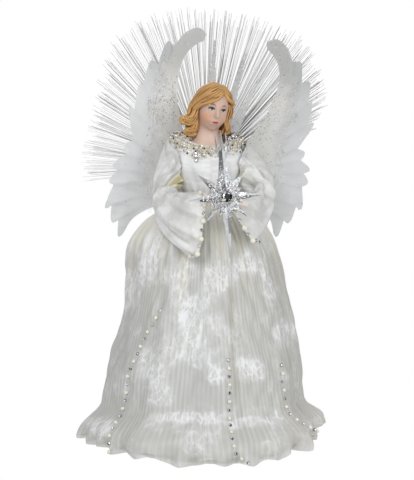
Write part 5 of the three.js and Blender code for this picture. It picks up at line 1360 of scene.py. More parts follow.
# Loose curls: their lines, thickness and how thick their tips stay
CURLS = [
    ([(-0.35, -0.1, -0.02), (-0.36, -0.11, -0.12), (-0.4, -0.12, -0.22), (-0.47, -0.11, -0.27),
      (-0.55, -0.09, -0.27), (-0.585, -0.07, -0.3), (-0.55, -0.08, -0.35)], 0.062, 0.9),
    ([(-0.33, -0.08, -0.06), (-0.34, -0.1, -0.18), (-0.37, -0.11, -0.29), (-0.43, -0.1, -0.345),
      (-0.5, -0.08, -0.35)], 0.055, 0.8),
    ([(-0.31, -0.05, -0.1), (-0.31, -0.08, -0.26), (-0.3, -0.1, -0.37), (-0.33, -0.1, -0.46),
      (-0.42, -0.08, -0.5), (-0.44, -0.06, -0.55), (-0.36, -0.07, -0.58),
      (-0.27, -0.08, -0.55)], 0.058, 0.8),
    ([(-0.28, -0.02, -0.12), (-0.27, -0.05, -0.3), (-0.26, -0.07, -0.42), (-0.3, -0.08, -0.49),
      (-0.36, -0.07, -0.52)], 0.048, 0.6),
    ([(-0.42, 0.02, 0), (-0.43, 0, -0.12), (-0.45, -0.02, -0.2), (-0.5, -0.03, -0.24)], 0.05, 0.6),
    ([(-0.4, 0.1, -0.05), (-0.41, 0.1, -0.25), (-0.4, 0.08, -0.38), (-0.44, 0.06, -0.46)], 0.05, 0.5),
    ([(-0.34, 0.22, -0.1), (-0.35, 0.22, -0.3), (-0.34, 0.2, -0.46), (-0.38, 0.18, -0.54)], 0.052, 0.5),
    ([(0.36, -0.03, 0.18), (0.385, -0.06, 0.1), (0.405, -0.07, 0), (0.4, -0.07, -0.09),
      (0.37, -0.06, -0.15)], 0.034, 0.4),
    ([(0.3, -0.1, 0.14), (0.3, -0.13, 0.05), (0.285, -0.14, -0.08), (0.3, -0.14, -0.2),
      (0.36, -0.13, -0.3), (0.39, -0.12, -0.38), (0.35, -0.11, -0.44)], 0.04, 0.4),
    ([(0.34, -0.02, 0.1), (0.35, -0.05, -0.05), (0.35, -0.06, -0.2), (0.42, -0.05, -0.3),
      (0.43, -0.05, -0.4), (0.38, -0.05, -0.46)], 0.042, 0.4),
    ([(0.36, 0.12, -0.05), (0.37, 0.12, -0.25), (0.36, 0.1, -0.4), (0.4, 0.08, -0.5)], 0.05, 0.5),
    ([(0.28, 0.26, -0.1), (0.29, 0.26, -0.3), (0.28, 0.24, -0.46), (0.3, 0.22, -0.56)], 0.052, 0.5),
]

HAIR_MASSES = [((0, 0.1, 0.11), (0.335, 0.37, 0.37), 0.03), ((0, 0.2, -0.16), (0.31, 0.22, 0.34), 0.06),
               ((0, 0.2, -0.31), (0.31, 0.21, 0.22), 0.05)]
# How a hanging lock draws in on its way down, and its thickness
LOCK_FALL = [(1, 0.02), (1, -0.14), (0.95, -0.29), (0.84, -0.43), (0.74, -0.52)]
LOCK_SIZES = [0.03, 0.036, 0.036, 0.034, 0.02]
GROOVE_SIZES = [0.004, 0.012, 0.015, 0.015, 0.015, 0.013, 0.01]


def hanging_locks(clay):
    """Straight locks over the ears and behind them."""
    for side in (-1, 1):
        for k in range(8):
            y = -0.02 + 0.052 * k
            x = side * (0.37 - 0.9 * max(0, y - 0.14) ** 2)
            clay.strand([(x * width, y, z) for width, z in LOCK_FALL], LOCK_SIZES, 0.006, 18)


def combed_locks(clay):
    """Wavy locks combed from the parting round to the back, with a groove between each two."""
    draw = np.random.RandomState(7)
    middle = np.array([0, 0.08, 0.08])
    grooves = []
    for guides, count, squeeze in ((LEFT_GUIDES, 19, 0.11), (RIGHT_GUIDES, 16, 0.05)):
        for k in range(2 * count - 1):
            line = curve_at(GUIDE_MARKS, guides, GUIDE_MARKS[-1] * k / (2 * count - 2))
            line[:, 0] *= 1 - squeeze * smooth(line[:, 2], -0.05, 0.2)
            out = line - middle
            out /= np.linalg.norm(out, axis=1)[:, None]
            wave = np.sin(np.linspace(0, 9, len(line)) + draw.uniform(0, 6))[:, None]
            if k % 2:
                grooves.append(line + out * (draw.uniform(0.018, 0.036) + 0.004 * wave))
            else:
                tip = 0.3 if guides is RIGHT_GUIDES and k == 0 else 0.8
                sizes = draw.uniform(0.032, 0.046) * np.array([0.5, 1, 1.05, 1.1, 1.05, 1, tip])
                clay.strand(line + out * wave * 0.008, sizes, 0.008, 24)
    for line in grooves:
        clay.strand(line, GROOVE_SIZES, 0.008, 26, carve=True)


def curl(clay, line, radius, tip):
    """A loose curl with three grooves along it."""
    sizes = radius * np.interp(np.linspace(0, 1, len(line)), [0, 0.2, 0.75, 1], [0.85, 1.1, 1, tip])
    clay.strand(line, sizes, 0.01, 24)
    for turn in (-2.3, -1.5, -0.7):
        aside = np.linspace(0, 0.8, len(line)) + turn
        side = np.stack([0.25 * np.cos(aside), np.sin(aside), np.cos(aside)], axis=-1)
        groove = np.array(line) + side * sizes[:, None] * 1.02
        clay.strand(groove, [0.009] * len(line), 0.008, 24, carve=True)


def hair():
    """Golden hair with painted shade in its grooves, painted highlights on its ridges and fine streaks."""
    gold, deep, light = (0.53, 0.285, 0.085), (0.19, 0.075, 0.015), (0.82, 0.5, 0.21)
    clay = Clay((-0.85, -0.62, -0.85), (0.72, 0.68, 0.68), 0.0095)
    for form in HAIR_MASSES:
        clay.ball(*form)
    hanging_locks(clay)
    combed_locks(clay)
    for line, radius, tip in CURLS:
        curl(clay, line, radius, tip)
    verts, faces = clay.mesh()
    depth = hollowness(verts, faces)
    # Painted shade in the grooves and painted highlights on the ridges, from how deep each point lies.
    tint = lay(np.tile(gold, (len(verts), 1)), deep, smooth(depth, 0.0002, 0.0035) * 0.95)
    tint = lay(tint, light, smooth(-depth, 0.0, 0.003) * 0.55)
    look = Look("painted_hair", Roughness=0.33, Specular_IOR_Level=0.6)
    streak = look.grain(None, (900, 900, 130), 3, 0.6)
    look.color(look.mix(look.times(streak, 0.5), look.tint(), (0.36, 0.18, 0.05)))
    look.bump(streak, 0.35, 0.25)
    put("bust_hair", "bust_casting", into_place(verts), faces, [look.material], None, tint)


# Hands and arm padding

def rounded(node, name, material, voxel, rounds):
    """A copy of one of the model's solids, remeshed and smoothed into a moulded form."""
    piece = linked(name, frame["nodes"][node].data.copy())
    for kind, settings in (("REMESH", {"mode": "VOXEL", "voxel_size": voxel}),
                           ("SMOOTH", {"factor": 0.5, "iterations": rounds})):
        modifier = piece.modifiers.new(kind.lower(), kind)
        for key, value in settings.items():
            setattr(modifier, key, value)
    bpy.context.view_layer.update()
    final = bpy.data.meshes.new_from_object(piece.evaluated_get(bpy.context.evaluated_depsgraph_get()))
    piece.modifiers.clear()
    piece.data = final
    final.materials.clear()
    final.materials.append(material)
    final.polygons.foreach_set("use_smooth", [True] * len(final.polygons))
    stands_for(piece, node)
    return piece


def hands():
    skin = Look("hand_skin", Roughness=0.4, Specular_IOR_Level=0.45)
    skin.color(skin.mix(skin.noise(120, 3), (0.8, 0.7, 0.66), (0.85, 0.76, 0.73)))
    skin.bump(skin.noise(700, 2), 0.05, 0.1)
    for side in SIGN:
        rounded(f"hand_{side}", f"hand_skin_{side}", skin.material, 0.00045, 9)


def arm_pads():
    wadding = Look("wadding", Roughness=0.9, Sheen_Weight=0.3)
    wadding.color(wadding.mix(wadding.noise(150, 4), (0.72, 0.7, 0.66), (0.84, 0.83, 0.8)))
    wadding.bump(wadding.noise(900, 3), 0.7, 0.4)
    for side in SIGN:
        piece = rounded(f"arm_padding_{side}", f"arm_pad_{side}", wadding.material, 0.0005, 4)


# Star

# Long rays: degrees from upright, length and half width
STAR_RAYS = [(0, 57, 6.2), (42, 28, 4.8), (91, 32, 4.6), (136, 25, 4.2), (180, 45.5, 5.4), (224, 27, 4.2),
             (268, 32.5, 4.6), (312, 30, 5.2)]
# Short rays between them: degrees from upright and length
STAR_SHORT = [(21, 17), (66, 16), (114, 16), (158, 18), (202, 18), (246, 16), (291, 16), (338, 17)]
# Spikes at the top: where they stand, across and up, and how high they end
STAR_SPIKES = [(-5.2, 34, 56), (5.4, 34, 55.5), (9, 38, 52)]
STAR_LEAN = math.radians(-5)
RAY_THICK, SHORT_THICK, SPIKE_THICK = 3.1, 2.6, 1.6
# Width of a ray at its stations, as shares of its length and half width
RAY_SHAPE = [(0.0, 0.8), (0.18, 1.0), (0.4, 0.7), (0.7, 0.38), (1.0, 0.07)]
# Painted light and shade of the four sides of an upright ray between its inner stations
STREAKS = {1: (1, 0.5, 0.6, 1), 2: (1, 0.16, 0.4, 1)}
ACRYLIC_TONE, ACRYLIC_END = np.array([0.94, 0.97, 1]), np.array([0.9, 0.93, 1])
# Glitter colours: silver flakes painted from white to nearly black, as painted glints and dark reflections,
# and gold flakes.
GLITTER = [(0.95, 0.96, 1), (0.74, 0.76, 0.8), (0.36, 0.36, 0.38), (0.12, 0.12, 0.13), (0.7, 0.62, 0.45)]
BODY_SLOT, GLITTER_SLOT = 0, 1


def heading(degrees):
    """Across and up of a direction, in degrees from upright."""
    return math.sin(math.radians(degrees)), math.cos(math.radians(degrees))


def middle_plane(node):
    """How far back the middle of a node lies."""
    low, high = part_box(node)
    return (low.y + high.y) / 2 / MM


def flake(beads, place, size, weights=(0.36, 0.2, 0.18, 0.16, 0.1)):
    """One hexagonal flake of glitter, tipped at random."""
    normal = Vector((0, -1, 0)) + Vector(beads.draw.uniform(-0.55, 0.55, 3))
    turn = np.array(normal.to_track_quat("Z", "Y").to_matrix())
    radius = size * beads.draw.uniform(0.6, 1.15)
    angle = np.arange(6) * math.pi / 3 + beads.draw.uniform(0, 1)
    ring = radius * np.stack([np.cos(angle), np.sin(angle), 0 * angle], axis=-1)
    color = GLITTER[beads.draw.choice(len(GLITTER), p=weights)]
    beads.join(ring @ turn.T + place, [range(6)], color, GLITTER_SLOT)


def star_point(local, out):
    """out is towards the viewer; local is across and up in the star's own plane."""
    across, up = local
    x = across * math.cos(STAR_LEAN) + up * math.sin(STAR_LEAN)
    z = up * math.cos(STAR_LEAN) - across * math.sin(STAR_LEAN)
    return np.array([x, middle_plane("star") - out, SHOULDER_HEIGHT - STAR_DROP + z])


def spike(body, base, direction, length, half, thick, streaked=False):
    """A four-sided clear ray: widest near its root, with a ridge on both faces."""
    d = np.array(direction)
    n = np.array([d[1], -d[0]])
    stations, sides = len(RAY_SHAPE) - 1, 4
    verts = []
    for share, width in RAY_SHAPE:
        middle = np.array(base) + d * length * share
        for aside, out in ((1, 0), (0, 1), (-1, 0), (0, -1)):
            verts.append(star_point(middle + n * aside * half * width, out * thick * width))
    tints = []
    for j in range(stations):
        for i in range(sides):
            # Painted reflections: each face of the clear ray gets a grey; the upright rays take their lit and
            # shaded sides from STREAKS.
            tone = body.draw.choice([0.1, 0.5, 0.85, 1.0], p=[0.17, 0.18, 0.27, 0.38])
            if streaked and j in STREAKS:
                tone = STREAKS[j][i]
            tints.append(tone * ACRYLIC_TONE)
    last = stations * sides
    ends = [(0, 3, 2, 1), (last, last + 1, last + 2, last + 3)]
    body.join(verts, ring_faces(stations, sides) + ends, tints + [ACRYLIC_END] * 2, BODY_SLOT)


def star_flakes(body):
    """Glitter down the long rays, thicker towards the middle, and a round patch of it at the heart."""
    patch, size = 14, 0.5
    for _ in range(2300):
        k = body.draw.randint(len(STAR_RAYS))
        degrees, length, half = STAR_RAYS[k]
        reach = min(abs(body.draw.normal(0, 0.38)), 0.9) * (22 if k else 34)
        if reach > length * 0.8:
            continue
        off = body.draw.uniform(-1, 1) * half * (1 - reach / length) * 0.9
        sine, cosine = heading(degrees)
        out = RAY_THICK * (1 - reach / length) * (1 - abs(off) / half * 0.7) + 0.25
        flake(body, star_point((sine * reach + cosine * off, cosine * reach - sine * off), out), size)
    for _ in range(900):
        r, a = patch * math.sqrt(body.draw.uniform(0.03, 1)), body.draw.uniform(0, math.tau)
        flake(body, star_point((r * math.sin(a), r * math.cos(a)), RAY_THICK - 0.14 * r), size)


def star_stone():
    """The round stone: half of its facets are painted dark and some painted bright, as painted reflections.
    """
    gem = Beads(53)
    gem.add(brilliant(4.8, 3.0, 10), star_point((0, 0), 3.9), (0, -1, 0), 0)
    draw, tones, table = np.random.RandomState(54), [0.005, 0.03, 0.5, 1], -2
    facets = draw.choice(tones, len(gem.faces), p=[0.5, 0.18, 0.07, 0.25])
    facets[table] = 0.012
    gem.tints = [[f, f, f] for f in facets]
    stone = tinted_look("set_stone", 0.05, 0.85, (900, 1), (0.02, 0.05))
    gem.finish("star_stone", "star_gem", [stone.material])


def star():
    acrylic = tinted_look("clear_acrylic", 0.06, 0.0, (400, 2), (0.06, 0.1), Transmission_Weight=0.75,
                          IOR=1.45, Specular_IOR_Level=0.8)
    glitter = tinted_look("star_glitter", 0.3, 0.5, (1500, 1), (0.05, 0.05))
    body = Beads(51)
    for degrees, length, half in STAR_RAYS:
        spike(body, (0, 0), heading(degrees), length, half, RAY_THICK, degrees in (0, 180))
    for degrees, length in STAR_SHORT:
        spike(body, (0, 0), heading(degrees), length, 3.2, SHORT_THICK)
    for across, up, top in STAR_SPIKES:
        spike(body, (across * 0.7, up), (across * 0.01, 1), top - up, 1.2, SPIKE_THICK)
    star_flakes(body)
    body.finish("star_clear", "star", [acrylic.material, glitter.material])
    star_stone()


# Wings: the inner and the outer edge from the horn at the top to the tail, in shares of breadth and height

LEADING = [[0.19, 0.928], [0.28, 0.897], [0.37, 0.83], [0.42, 0.74], [0.42, 0.64], [0.39, 0.53], [0.33, 0.43],
           [0.25, 0.33], [0.15, 0.22], [0.07, 0.1], [0.03, -0.02], [0.02, -0.13]]
TRAILING = [[0.19, 0.972], [0.3, 1.002], [0.44, 0.95], [0.54, 0.85], [0.61, 0.885], [0.65, 0.86],
            [0.685, 0.72], [0.76, 0.75], [0.8, 0.72], [0.81, 0.58], [0.845, 0.595], [0.875, 0.56],
            [0.855, 0.42], [0.92, 0.445], [0.94, 0.41], [0.8, 0.23], [0.89, 0.205], [0.865, 0.145],
            [0.99, 0.08], [0.93, 0.045], [1, -0.02], [0.94, -0.05], [0.99, -0.195], [0.915, -0.19],
            [0.88, -0.295], [0.805, -0.285], [0.775, -0.39], [0.72, -0.38], [0.63, -0.27], [0.4, -0.19],
            [0.12, -0.15]]
# Which places of the outer edge are the notches between two feathers
NOTCHES = [3, 6, 9, 12, 15, 17, 19, 21, 23, 25]
WING_SIZE = np.array([WING_BREADTH, WING_HEIGHT])
WING_LAYERS = {"back": {"reach": 1, "behind": 0.35, "flakes": 200},
               "front": {"reach": 0.6, "behind": -0.9, "flakes": 620}}
# Painted shade over each whole wing: the share of its colour that it keeps, the right wing painted darker.
WING_LIGHT = {"left": 0.98, "right": 0.64}
WING_FLAKE_WEIGHTS = (0.16, 0.14, 0.18, 0.24, 0.28)


def wing_point(side, u, w, behind):
    """Places of the film, which curls forward towards its tips."""
    sign, (root_x, root_z) = SIGN[side], WING_ROOT
    flat_u, flat_w = u * WING_BREADTH, w * WING_HEIGHT
    x = root_x + (flat_u + sign * 0.2 * flat_w) * math.cos(WING_TURN)
    z = root_z + flat_w - sign * 0.1 * u * np.maximum(0, flat_w)
    curl_forward = (u**2 + np.maximum(0, w) ** 2) / 2 * 7
    y = BACK_PLANE - flat_u * math.sin(WING_TURN) - curl_forward + behind
    return np.stack([BACK_SHIFT + sign * x, y, z], axis=-1)


def feather_edge():
    """Outer edge of a wing, with a share along it: a horn, round feathers with sharp notches, and a tail."""
    trail = np.array(TRAILING, float)
    horn, tail, end = NOTCHES[0], NOTCHES[-1], len(TRAILING) - 1
    lines, marks = [through(trail[:horn + 1], np.linspace(0, 1, 16))], [np.linspace(0, horn, 16)]
    t = np.linspace(0, 1, 15)[1:, None]
    r = 1 - t
    for a, b in zip(NOTCHES[:-1], NOTCHES[1:]):
        start, stop = trail[a], trail[b]
        swell, aside = (4 / 3, 0.3) if b - a == 2 else (1.27, 0)
        first = start + (trail[a + 1] - start) * swell + (start - stop) * aside
        last = stop + (trail[b - 1] - stop) * swell + (stop - start) * aside
        lines.append(r**3 * start + 3 * r**2 * t * first + 3 * r * t**2 * last + t**3 * stop)
        marks.append(a + (b - a) * t[:, 0])
    lines.append(through(trail[tail:], np.linspace(0, 1, 24))[1:])
    marks.append(np.linspace(tail, end, 24)[1:])
    return np.concatenate(lines), np.concatenate(marks) / end


def wing_outline(reach):
    """The outer edge of a layer, drawn in towards the inner edge, and the closed line round the film."""
    edge, share = feather_edge()
    inner = through(LEADING, share)
    kept = reach + (1 - reach) * (1 - smooth(share, 0.08, 0.2))
    edge = (inner + (edge - inner) * kept[:, None]) * WING_SIZE
    lead = through(LEADING, np.linspace(0, 1, 50)) * WING_SIZE
    return edge, np.concatenate([edge, lead[::-1][1:-1]])


def distance_to(points, starts, stops):
    """Distance from each point to the nearest of some straight stretches."""
    near = np.full(len(points), 1e9)
    for a, b in zip(starts, stops):
        run = b - a
        share = np.clip((points - a) @ run / max(run @ run, 1e-9), 0, 1)
        near = np.minimum(near, np.linalg.norm(points - a - share[:, None] * run, axis=1))
    return near


def enclosed(points, outline):
    """Which points lie inside a closed line."""
    inside = np.zeros(len(points), bool)
    for a, b in zip(outline, np.roll(outline, -1, axis=0)):
        level = (a[1] > points[:, 1]) != (b[1] > points[:, 1])
        at = a[0] + (points[:, 1] - a[1]) / (b[1] - a[1] + 1e-12) * (b[0] - a[0])
        inside ^= level & (points[:, 0] < at)
    return inside


def filled(outline):
    """Triangles that fill a closed line, over an even grid of points."""
    step, margin = 1.7, 0.8
    low, high = outline.min(axis=0), outline.max(axis=0)
    rows = [np.arange(low[k], high[k], step) for k in range(2)]
    cloud = np.stack(np.meshgrid(*rows), axis=-1).reshape(-1, 2)
    far_enough = distance_to(cloud, outline, np.roll(outline, -1, axis=0)) > margin
    cloud = cloud[enclosed(cloud, outline) & far_enough]
    points = [Vector(p) for p in np.concatenate([outline, cloud])]
    made = delaunay_2d_cdt(points, [], [list(range(len(outline)))], 1, 1e-5)
    return np.array([tuple(v) for v in made[0]]), made[2]


def feather_laps(flat):
    """Each feather laps over the next: a step that runs from every notch in towards the root, with painted
    shade along it.
    """
    shade, lift = np.ones(len(flat)), np.zeros(len(flat))
    for notch in NOTCHES:
        start = np.array(TRAILING[notch]) * WING_SIZE
        root = np.array([0.3, TRAILING[notch][1] * 0.35]) * WING_SIZE
        run = (root - start) / np.linalg.norm(root - start)
        inwards, across = (flat - start) @ run, (flat - start) @ np.array([-run[1], run[0]])
        live = smooth(inwards, -4, 3) * (1 - smooth(inwards, 12, 40))
        shade -= np.where(across > 0, np.exp(-across / 3.2), np.exp(across / 0.7)) * live * 0.24
        lift += np.where(across < 0, np.exp(across / 6), 0) * live * 0.7
    return np.clip(shade, 0, 1), lift


def wing_sheet(side, layer):
    """Film with embossed quills: its points, its faces, shares for the grain, and marks."""
    reach, behind = WING_LAYERS[layer]["reach"], WING_LAYERS[layer]["behind"]
    edge, outline = wing_outline(reach)
    flat, faces = filled(outline)
    u, w = (flat / WING_SIZE).T
    turn, far = np.arctan2(w + 0.25, u + 0.35), np.hypot(u, w)
    quills = (0.3 * np.cos(turn * 46) + 0.15 * np.cos(turn * 131)) * smooth(far, 0.1, 0.5)
    shade, lift, solid = np.ones(len(flat)), 0, np.ones(len(flat))
    if layer == "back":
        shade, lift = feather_laps(flat)
    else:
        solid = np.clip(smooth(distance_to(flat, edge[:-1], edge[1:]), 0, 15) + smooth(w, 0.6, 0.75), 0, 1)
    # Painted shade: darker towards the horn at the top, and over the whole of each wing.
    shade = shade * (1 - 0.72 * smooth(w, 0.55, 0.8)) * WING_LIGHT[side]
    marks = np.stack([shade, solid, 0 * shade], axis=-1)
    grain = np.stack([far, turn], axis=-1)
    verts = wing_point(side, u, w, behind + quills - lift)
    return verts, faces, grain, [marks[f].mean(axis=0) for f in faces]


def wing_flakes(film, side, verts, count):
    """Glitter on the film, thickest round the heart of the wing."""
    heart_x, heart_z = BACK_SHIFT + SIGN[side] * 46, 318
    off = np.hypot(verts[:, 0] - heart_x, verts[:, 2] - heart_z)
    weight = bell(off, 0, 19) * 6 + 0.3 + bell(off, 0, 60)
    for k in film.draw.choice(len(verts), count, p=weight / weight.sum()):
        shift = (film.draw.uniform(-1.1, 1.1), -0.35, film.draw.uniform(-1.1, 1.1))
        flake(film, verts[k] + shift, 0.42, WING_FLAKE_WEIGHTS)


def wings():
    glitter = tinted_look("wing_glitter", 0.4, 0.35, (1500, 1), (0.05, 0.05))
    looks = {"back": film_look("film_outer", (0.68, 0.69, 0.695), (0.77, 0.782, 0.79), 0.08),
             "front": film_look("film_inner", (0.86, 0.86, 0.83), (0.94, 0.94, 0.92), 0.05)}
    for first_seed, side in ((200, "left"), (210, "right")):
        for seed, (layer, look) in enumerate(looks.items(), first_seed):
            film = Beads(seed)
            verts, faces, grain, marks = wing_sheet(side, layer)
            film.join(verts, faces, marks, BODY_SLOT)
            wing_flakes(film, side, verts, WING_LAYERS[layer]["flakes"])
            uv = np.concatenate([grain, np.zeros((film.count - len(verts), 2))])
            film.finish(f"wing_film_{layer}_{side}", f"wing_{layer}_{side}", [look, glitter.material],
                        BODY_SLOT, uv)


# Rays behind the head: degrees from upright, share of the full reach and how light they are

HALO_RAYS = ((3, 0.88, 1), (17.5, 0.85, 1), (28, 0.74, 1.25))


def ray_taper(share):
    return 1 - smooth(share, 0.35, 1.05) * 0.86


def halo_ray(rays, plane, degrees, share, light):
    """One ray with torn-glass edges and a ridge down its front, with glitter on it."""
    root, steps = np.array([BACK_SHIFT, RAY_ROOT_HEIGHT]), 56
    run = np.array(heading(degrees)) * share * RAY_REACH
    across = np.array([run[1], -run[0]]) / np.linalg.norm(run)
    verts = []
    for k in range(steps + 1):
        t = 0.2 + 0.8 * k / steps
        half = 6.6 * ray_taper(t) * (0.86 + 0.22 * (k % 3 == 0)) + rays.draw.uniform(-0.7, 0.5)
        for off, lift in ((-half, 0), (0, -0.7), (half, 0)):
            x, z = root + run * t + across * off
            verts.append((x, plane + lift, z))
    faces = [(i, i + 1, i + 4, i + 3) for k in range(steps) for i in (k * 3, k * 3 + 1)]
    rays.join(verts, faces, [[rays.draw.choice([0.47, 0.51, 0.54]) * light] * 3 for _ in faces], BODY_SLOT)
    for _ in range(60):
        t, off = rays.draw.uniform(0.25, 0.98), rays.draw.uniform(-1, 1)
        x, z = root + run * t + across * off * 6.2 * ray_taper(t)
        flake(rays, (x, plane - 0.95, z), 0.4)


def halo_ring(rays, plane):
    """The flat ring that the rays stand on."""
    sides, outer, inner, tone = 24, 16, 13.4, 0.7
    verts = []
    for radius in (outer, inner):
        for k in range(sides):
            a = math.tau * k / sides
            verts.append((BACK_SHIFT + radius * math.cos(a), plane, RAY_ROOT_HEIGHT + radius * math.sin(a)))
    rays.join(verts, ring_faces(1, sides), (tone, tone, tone), BODY_SLOT)


def halo_rays():
    frost = tinted_look("frosted_ray", 0.5, 0.0, (500, 3), (0.3, 0.3), Specular_IOR_Level=0.4)
    frost.glow_through(0.25, (0.85, 0.86, 0.86))
    glitter = tinted_look("ray_glitter", 0.2, 0.6, (1500, 1), (0.05, 0.05))
    rays, plane = Beads(301), middle_plane("halo_rays")
    for ray in HALO_RAYS:
        halo_ray(rays, plane, *ray)
    halo_ring(rays, plane)
    rays.finish("halo_frost", "halo_rays", [frost.material, glitter.material])


# Fibres

# How far the fan reaches at even steps round it, from its left end to its right one
FAN_SHARES = [0.76, 0.775, 0.77, 0.8, 0.87, 0.975, 1, 1, 0.98, 0.985, 1.02, 1.04, 1.01, 0.92, 0.76]
FAN_LAYERS, TUFTS, FIBRES_IN_TUFT = 4, 15, 8
FIBRE_ROOT, FIBRE_SIZE = 21, 0.24
COMB_SLOT, COMB_TONE = 1, (0.8, 0.8, 0.78)


def fibre(fan, y, angle, reach):
    """One thin three-sided fibre with a faint bow, cut square at its tip."""
    bow, sag = fan.draw.normal(0, 0.012) * reach, fan.draw.normal(0, 0.6)
    sine, cosine, stations, sides = math.sin(angle), math.cos(angle), 5, 3
    verts = []
    for j in range(stations + 1):
        t = j / stations
        r, across, size = FIBRE_ROOT + (reach - FIBRE_ROOT) * t, bow * t * t, FIBRE_SIZE * (1 - 0.3 * t)
        middle = np.array([BACK_SHIFT + sine * r + cosine * across, y + sag * t * t,
                           FAN_HUB_HEIGHT + cosine * r - sine * across])
        for k in range(sides):
            a = math.tau * k / sides
            verts.append(middle + size * np.array([cosine * math.cos(a), math.sin(a), -sine * math.cos(a)]))
    # Painted light: each clear fibre gets a grey at random, painted darker on the right of the fan and paler
    # towards the root on its left side.
    shade = fan.draw.choice([0.06, 0.3, 0.75, 1.0], p=[0.3, 0.25, 0.25, 0.2])
    shade *= 1 - 0.8 * smooth(math.degrees(angle), 15, 32)
    root = 0.9 * (1 - smooth(math.degrees(angle), -20, 10))
    tones = [shade + (1 - shade) * root * (1 - j / stations) for j in range(stations) for _ in range(sides)]
    tip = tuple(range(stations * sides, stations * sides + sides))
    tints = [(tone, tone, tone * 0.99) for tone in tones] + [(1, 1, 1)]
    fan.join(verts, ring_faces(stations, sides) + [tip], tints, BODY_SLOT)


def tufts(fan, plane, layer):
    """Tufts side by side round the fan; each layer is shifted against the one before."""
    span = FAN_TO - FAN_FROM
    step = span / TUFTS
    for tuft in range(TUFTS):
        middle = FAN_FROM + (tuft + 0.5 + (layer - 1.5) * 0.16) * step
        for k in range(FIBRES_IN_TUFT):
            aside = (k / (FIBRES_IN_TUFT - 1) - 0.5) * step * 0.7
            degrees = np.clip(middle + aside + fan.draw.normal(0, 0.7), FAN_FROM, FAN_TO)
            place = (degrees - FAN_FROM) / span * (len(FAN_SHARES) - 1)
            share = np.interp(place, range(len(FAN_SHARES)), FAN_SHARES)
            reach = share * FAN_REACH * fan.draw.uniform(0.89, 1.0)
            fibre(fan, plane + fan.draw.uniform(-0.4, 0.4), math.radians(degrees), reach)


def comb(fan, plane):
    """The moulded arc that holds the roots of the fibres."""
    steps, over, inner, outer, half = 60, 2, 19.3, 22.7, 0.55
    verts = []
    for degrees in np.linspace(FAN_FROM - over, FAN_TO + over, steps + 1):
        across, up = heading(degrees)
        for radius, side in ((inner, -1), (outer, -1), (outer, 1), (inner, 1)):
            verts.append((BACK_SHIFT + radius * across, plane + side * half, FAN_HUB_HEIGHT + radius * up))
    ends = [tuple(range(first, first + 4)) for first in (0, steps * 4)]
    fan.join(verts, ring_faces(steps, 4) + ends, COMB_TONE, COMB_SLOT)


def fibre_fans():
    look = tinted_look("clear_fibre", 0.25, 0.0, (2500, 1), (0.05, 0.05), Specular_IOR_Level=0.6)
    look.glow_through(0.35, (0.9, 0.9, 0.9))
    look.see_through(0.15)
    moulded = plain_look("comb_plastic", (0.7, 0.7, 0.68), (0.8, 0.8, 0.78), 0.4)
    for layer in range(FAN_LAYERS):
        node = f"fibre_fan_{layer + 1}"
        fan, plane = Beads(400 + layer), middle_plane(node)
        tufts(fan, plane, layer)
        comb(fan, plane)
        fan.finish(f"fibre_tufts_{layer + 1}", node, [look.material, moulded])


# Plain parts that keep their shape from the model

def metal_look(name, base, rough):
    """Brushed metal with fine scratches."""
    look = Look(name, Metallic=1.0, Roughness=rough)
    scratch = look.noise(300, 3, look.stretched(None, (1, 1, 12)))
    look.color(look.mix(scratch, tuple(c * 0.85 for c in base), base))
    look.bump(look.noise(1500, 2), 0.1, 0.1)
    return look.material


def cell_look():
    """The sleeve of a battery cell: dark, with a copper band round its upper end."""
    look = Look("cell_sleeve", Roughness=0.3)
    split = look.add("SeparateXYZ")
    look.feed(look.add("TexCoord").outputs["Object"], split.inputs[0])
    band = look.step(split.outputs[2], 0.068, 0.07)
    sleeve = look.mix(look.noise(220, 3), (0.05, 0.065, 0.085), (0.07, 0.09, 0.11))
    look.color(look.mix(band, sleeve, (0.55, 0.38, 0.17)))
    look.bump(look.noise(900, 2), 0.08, 0.1)
    return look.material


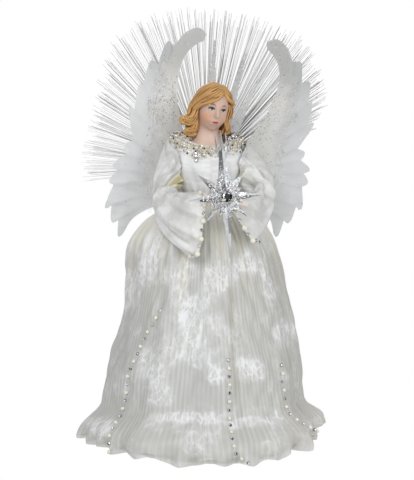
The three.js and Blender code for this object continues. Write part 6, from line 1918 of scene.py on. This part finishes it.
def lens_look():
    look = Look("lamp_lens", Roughness=0.12, Transmission_Weight=0.6, IOR=1.5)
    look.color(look.mix(look.noise(300, 2), (0.85, 0.87, 0.9), (0.95, 0.96, 1)))
    look.bump(look.noise(900, 1), 0.05, 0.1)
    return look.material


def keep(node, material):
    materials = frame["nodes"][node].data.materials
    materials.clear()
    materials.append(material)


def hard_parts():
    case = plain_look("case_plastic", (0.76, 0.76, 0.74), (0.82, 0.82, 0.81), 0.45, 90, 0.3)
    clear = plain_look("fibre_bundle_clear", (0.7, 0.71, 0.72), (0.85, 0.86, 0.88), 0.25, 400, 0.3)
    by_node = {
        "cone_shell": plain_look("cone_plastic", (0.74, 0.73, 0.69), (0.8, 0.79, 0.76), 0.5),
        "torso_form": plain_look("core_foam", (0.75, 0.74, 0.7), (0.83, 0.82, 0.79), 0.85, 240, 0.6),
        "lamp_board": plain_look("board_resin", (0.02, 0.12, 0.05), (0.03, 0.17, 0.07), 0.4, 200, 0.2),
        "lamp": lens_look(),
        "fibre_bundle": clear,
        "lead_wire": plain_look("lead_sleeve", (0.66, 0.65, 0.62), (0.76, 0.75, 0.72), 0.5, 300, 0.2),
        "housing_base": case,
        "housing_cover": case,
        "battery_case": case,
        "battery_lid": case,
    }
    by_slot = {
        "steel": metal_look("steel", (0.62, 0.63, 0.65), 0.32),
        "cell": cell_look(),
        "button": plain_look("button_plastic", (0.02, 0.02, 0.022), (0.035, 0.035, 0.038), 0.45, 80, 0.3),
    }
    for node, slot in SLOTS.items():
        if slot in by_slot:
            keep(node, by_slot[slot])
    for node, material in by_node.items():
        keep(node, material)


def main():
    camera()
    studio()
    gown()
    gown_lining()
    looks = bead_looks()
    skirt_trims(looks)
    pale = satin_look("bodice_satin", (0.74, 0.745, 0.74), (0.88, 0.885, 0.895))
    bodice(pale)
    waist_band(pale)
    neckline(looks)
    sleeves(satin_look("satin", (0.64, 0.645, 0.62), (0.84, 0.845, 0.835)), looks)
    bust()
    hands()
    star()
    wings()
    halo_rays()
    fibre_fans()
    hard_parts()
    arm_pads()


main()
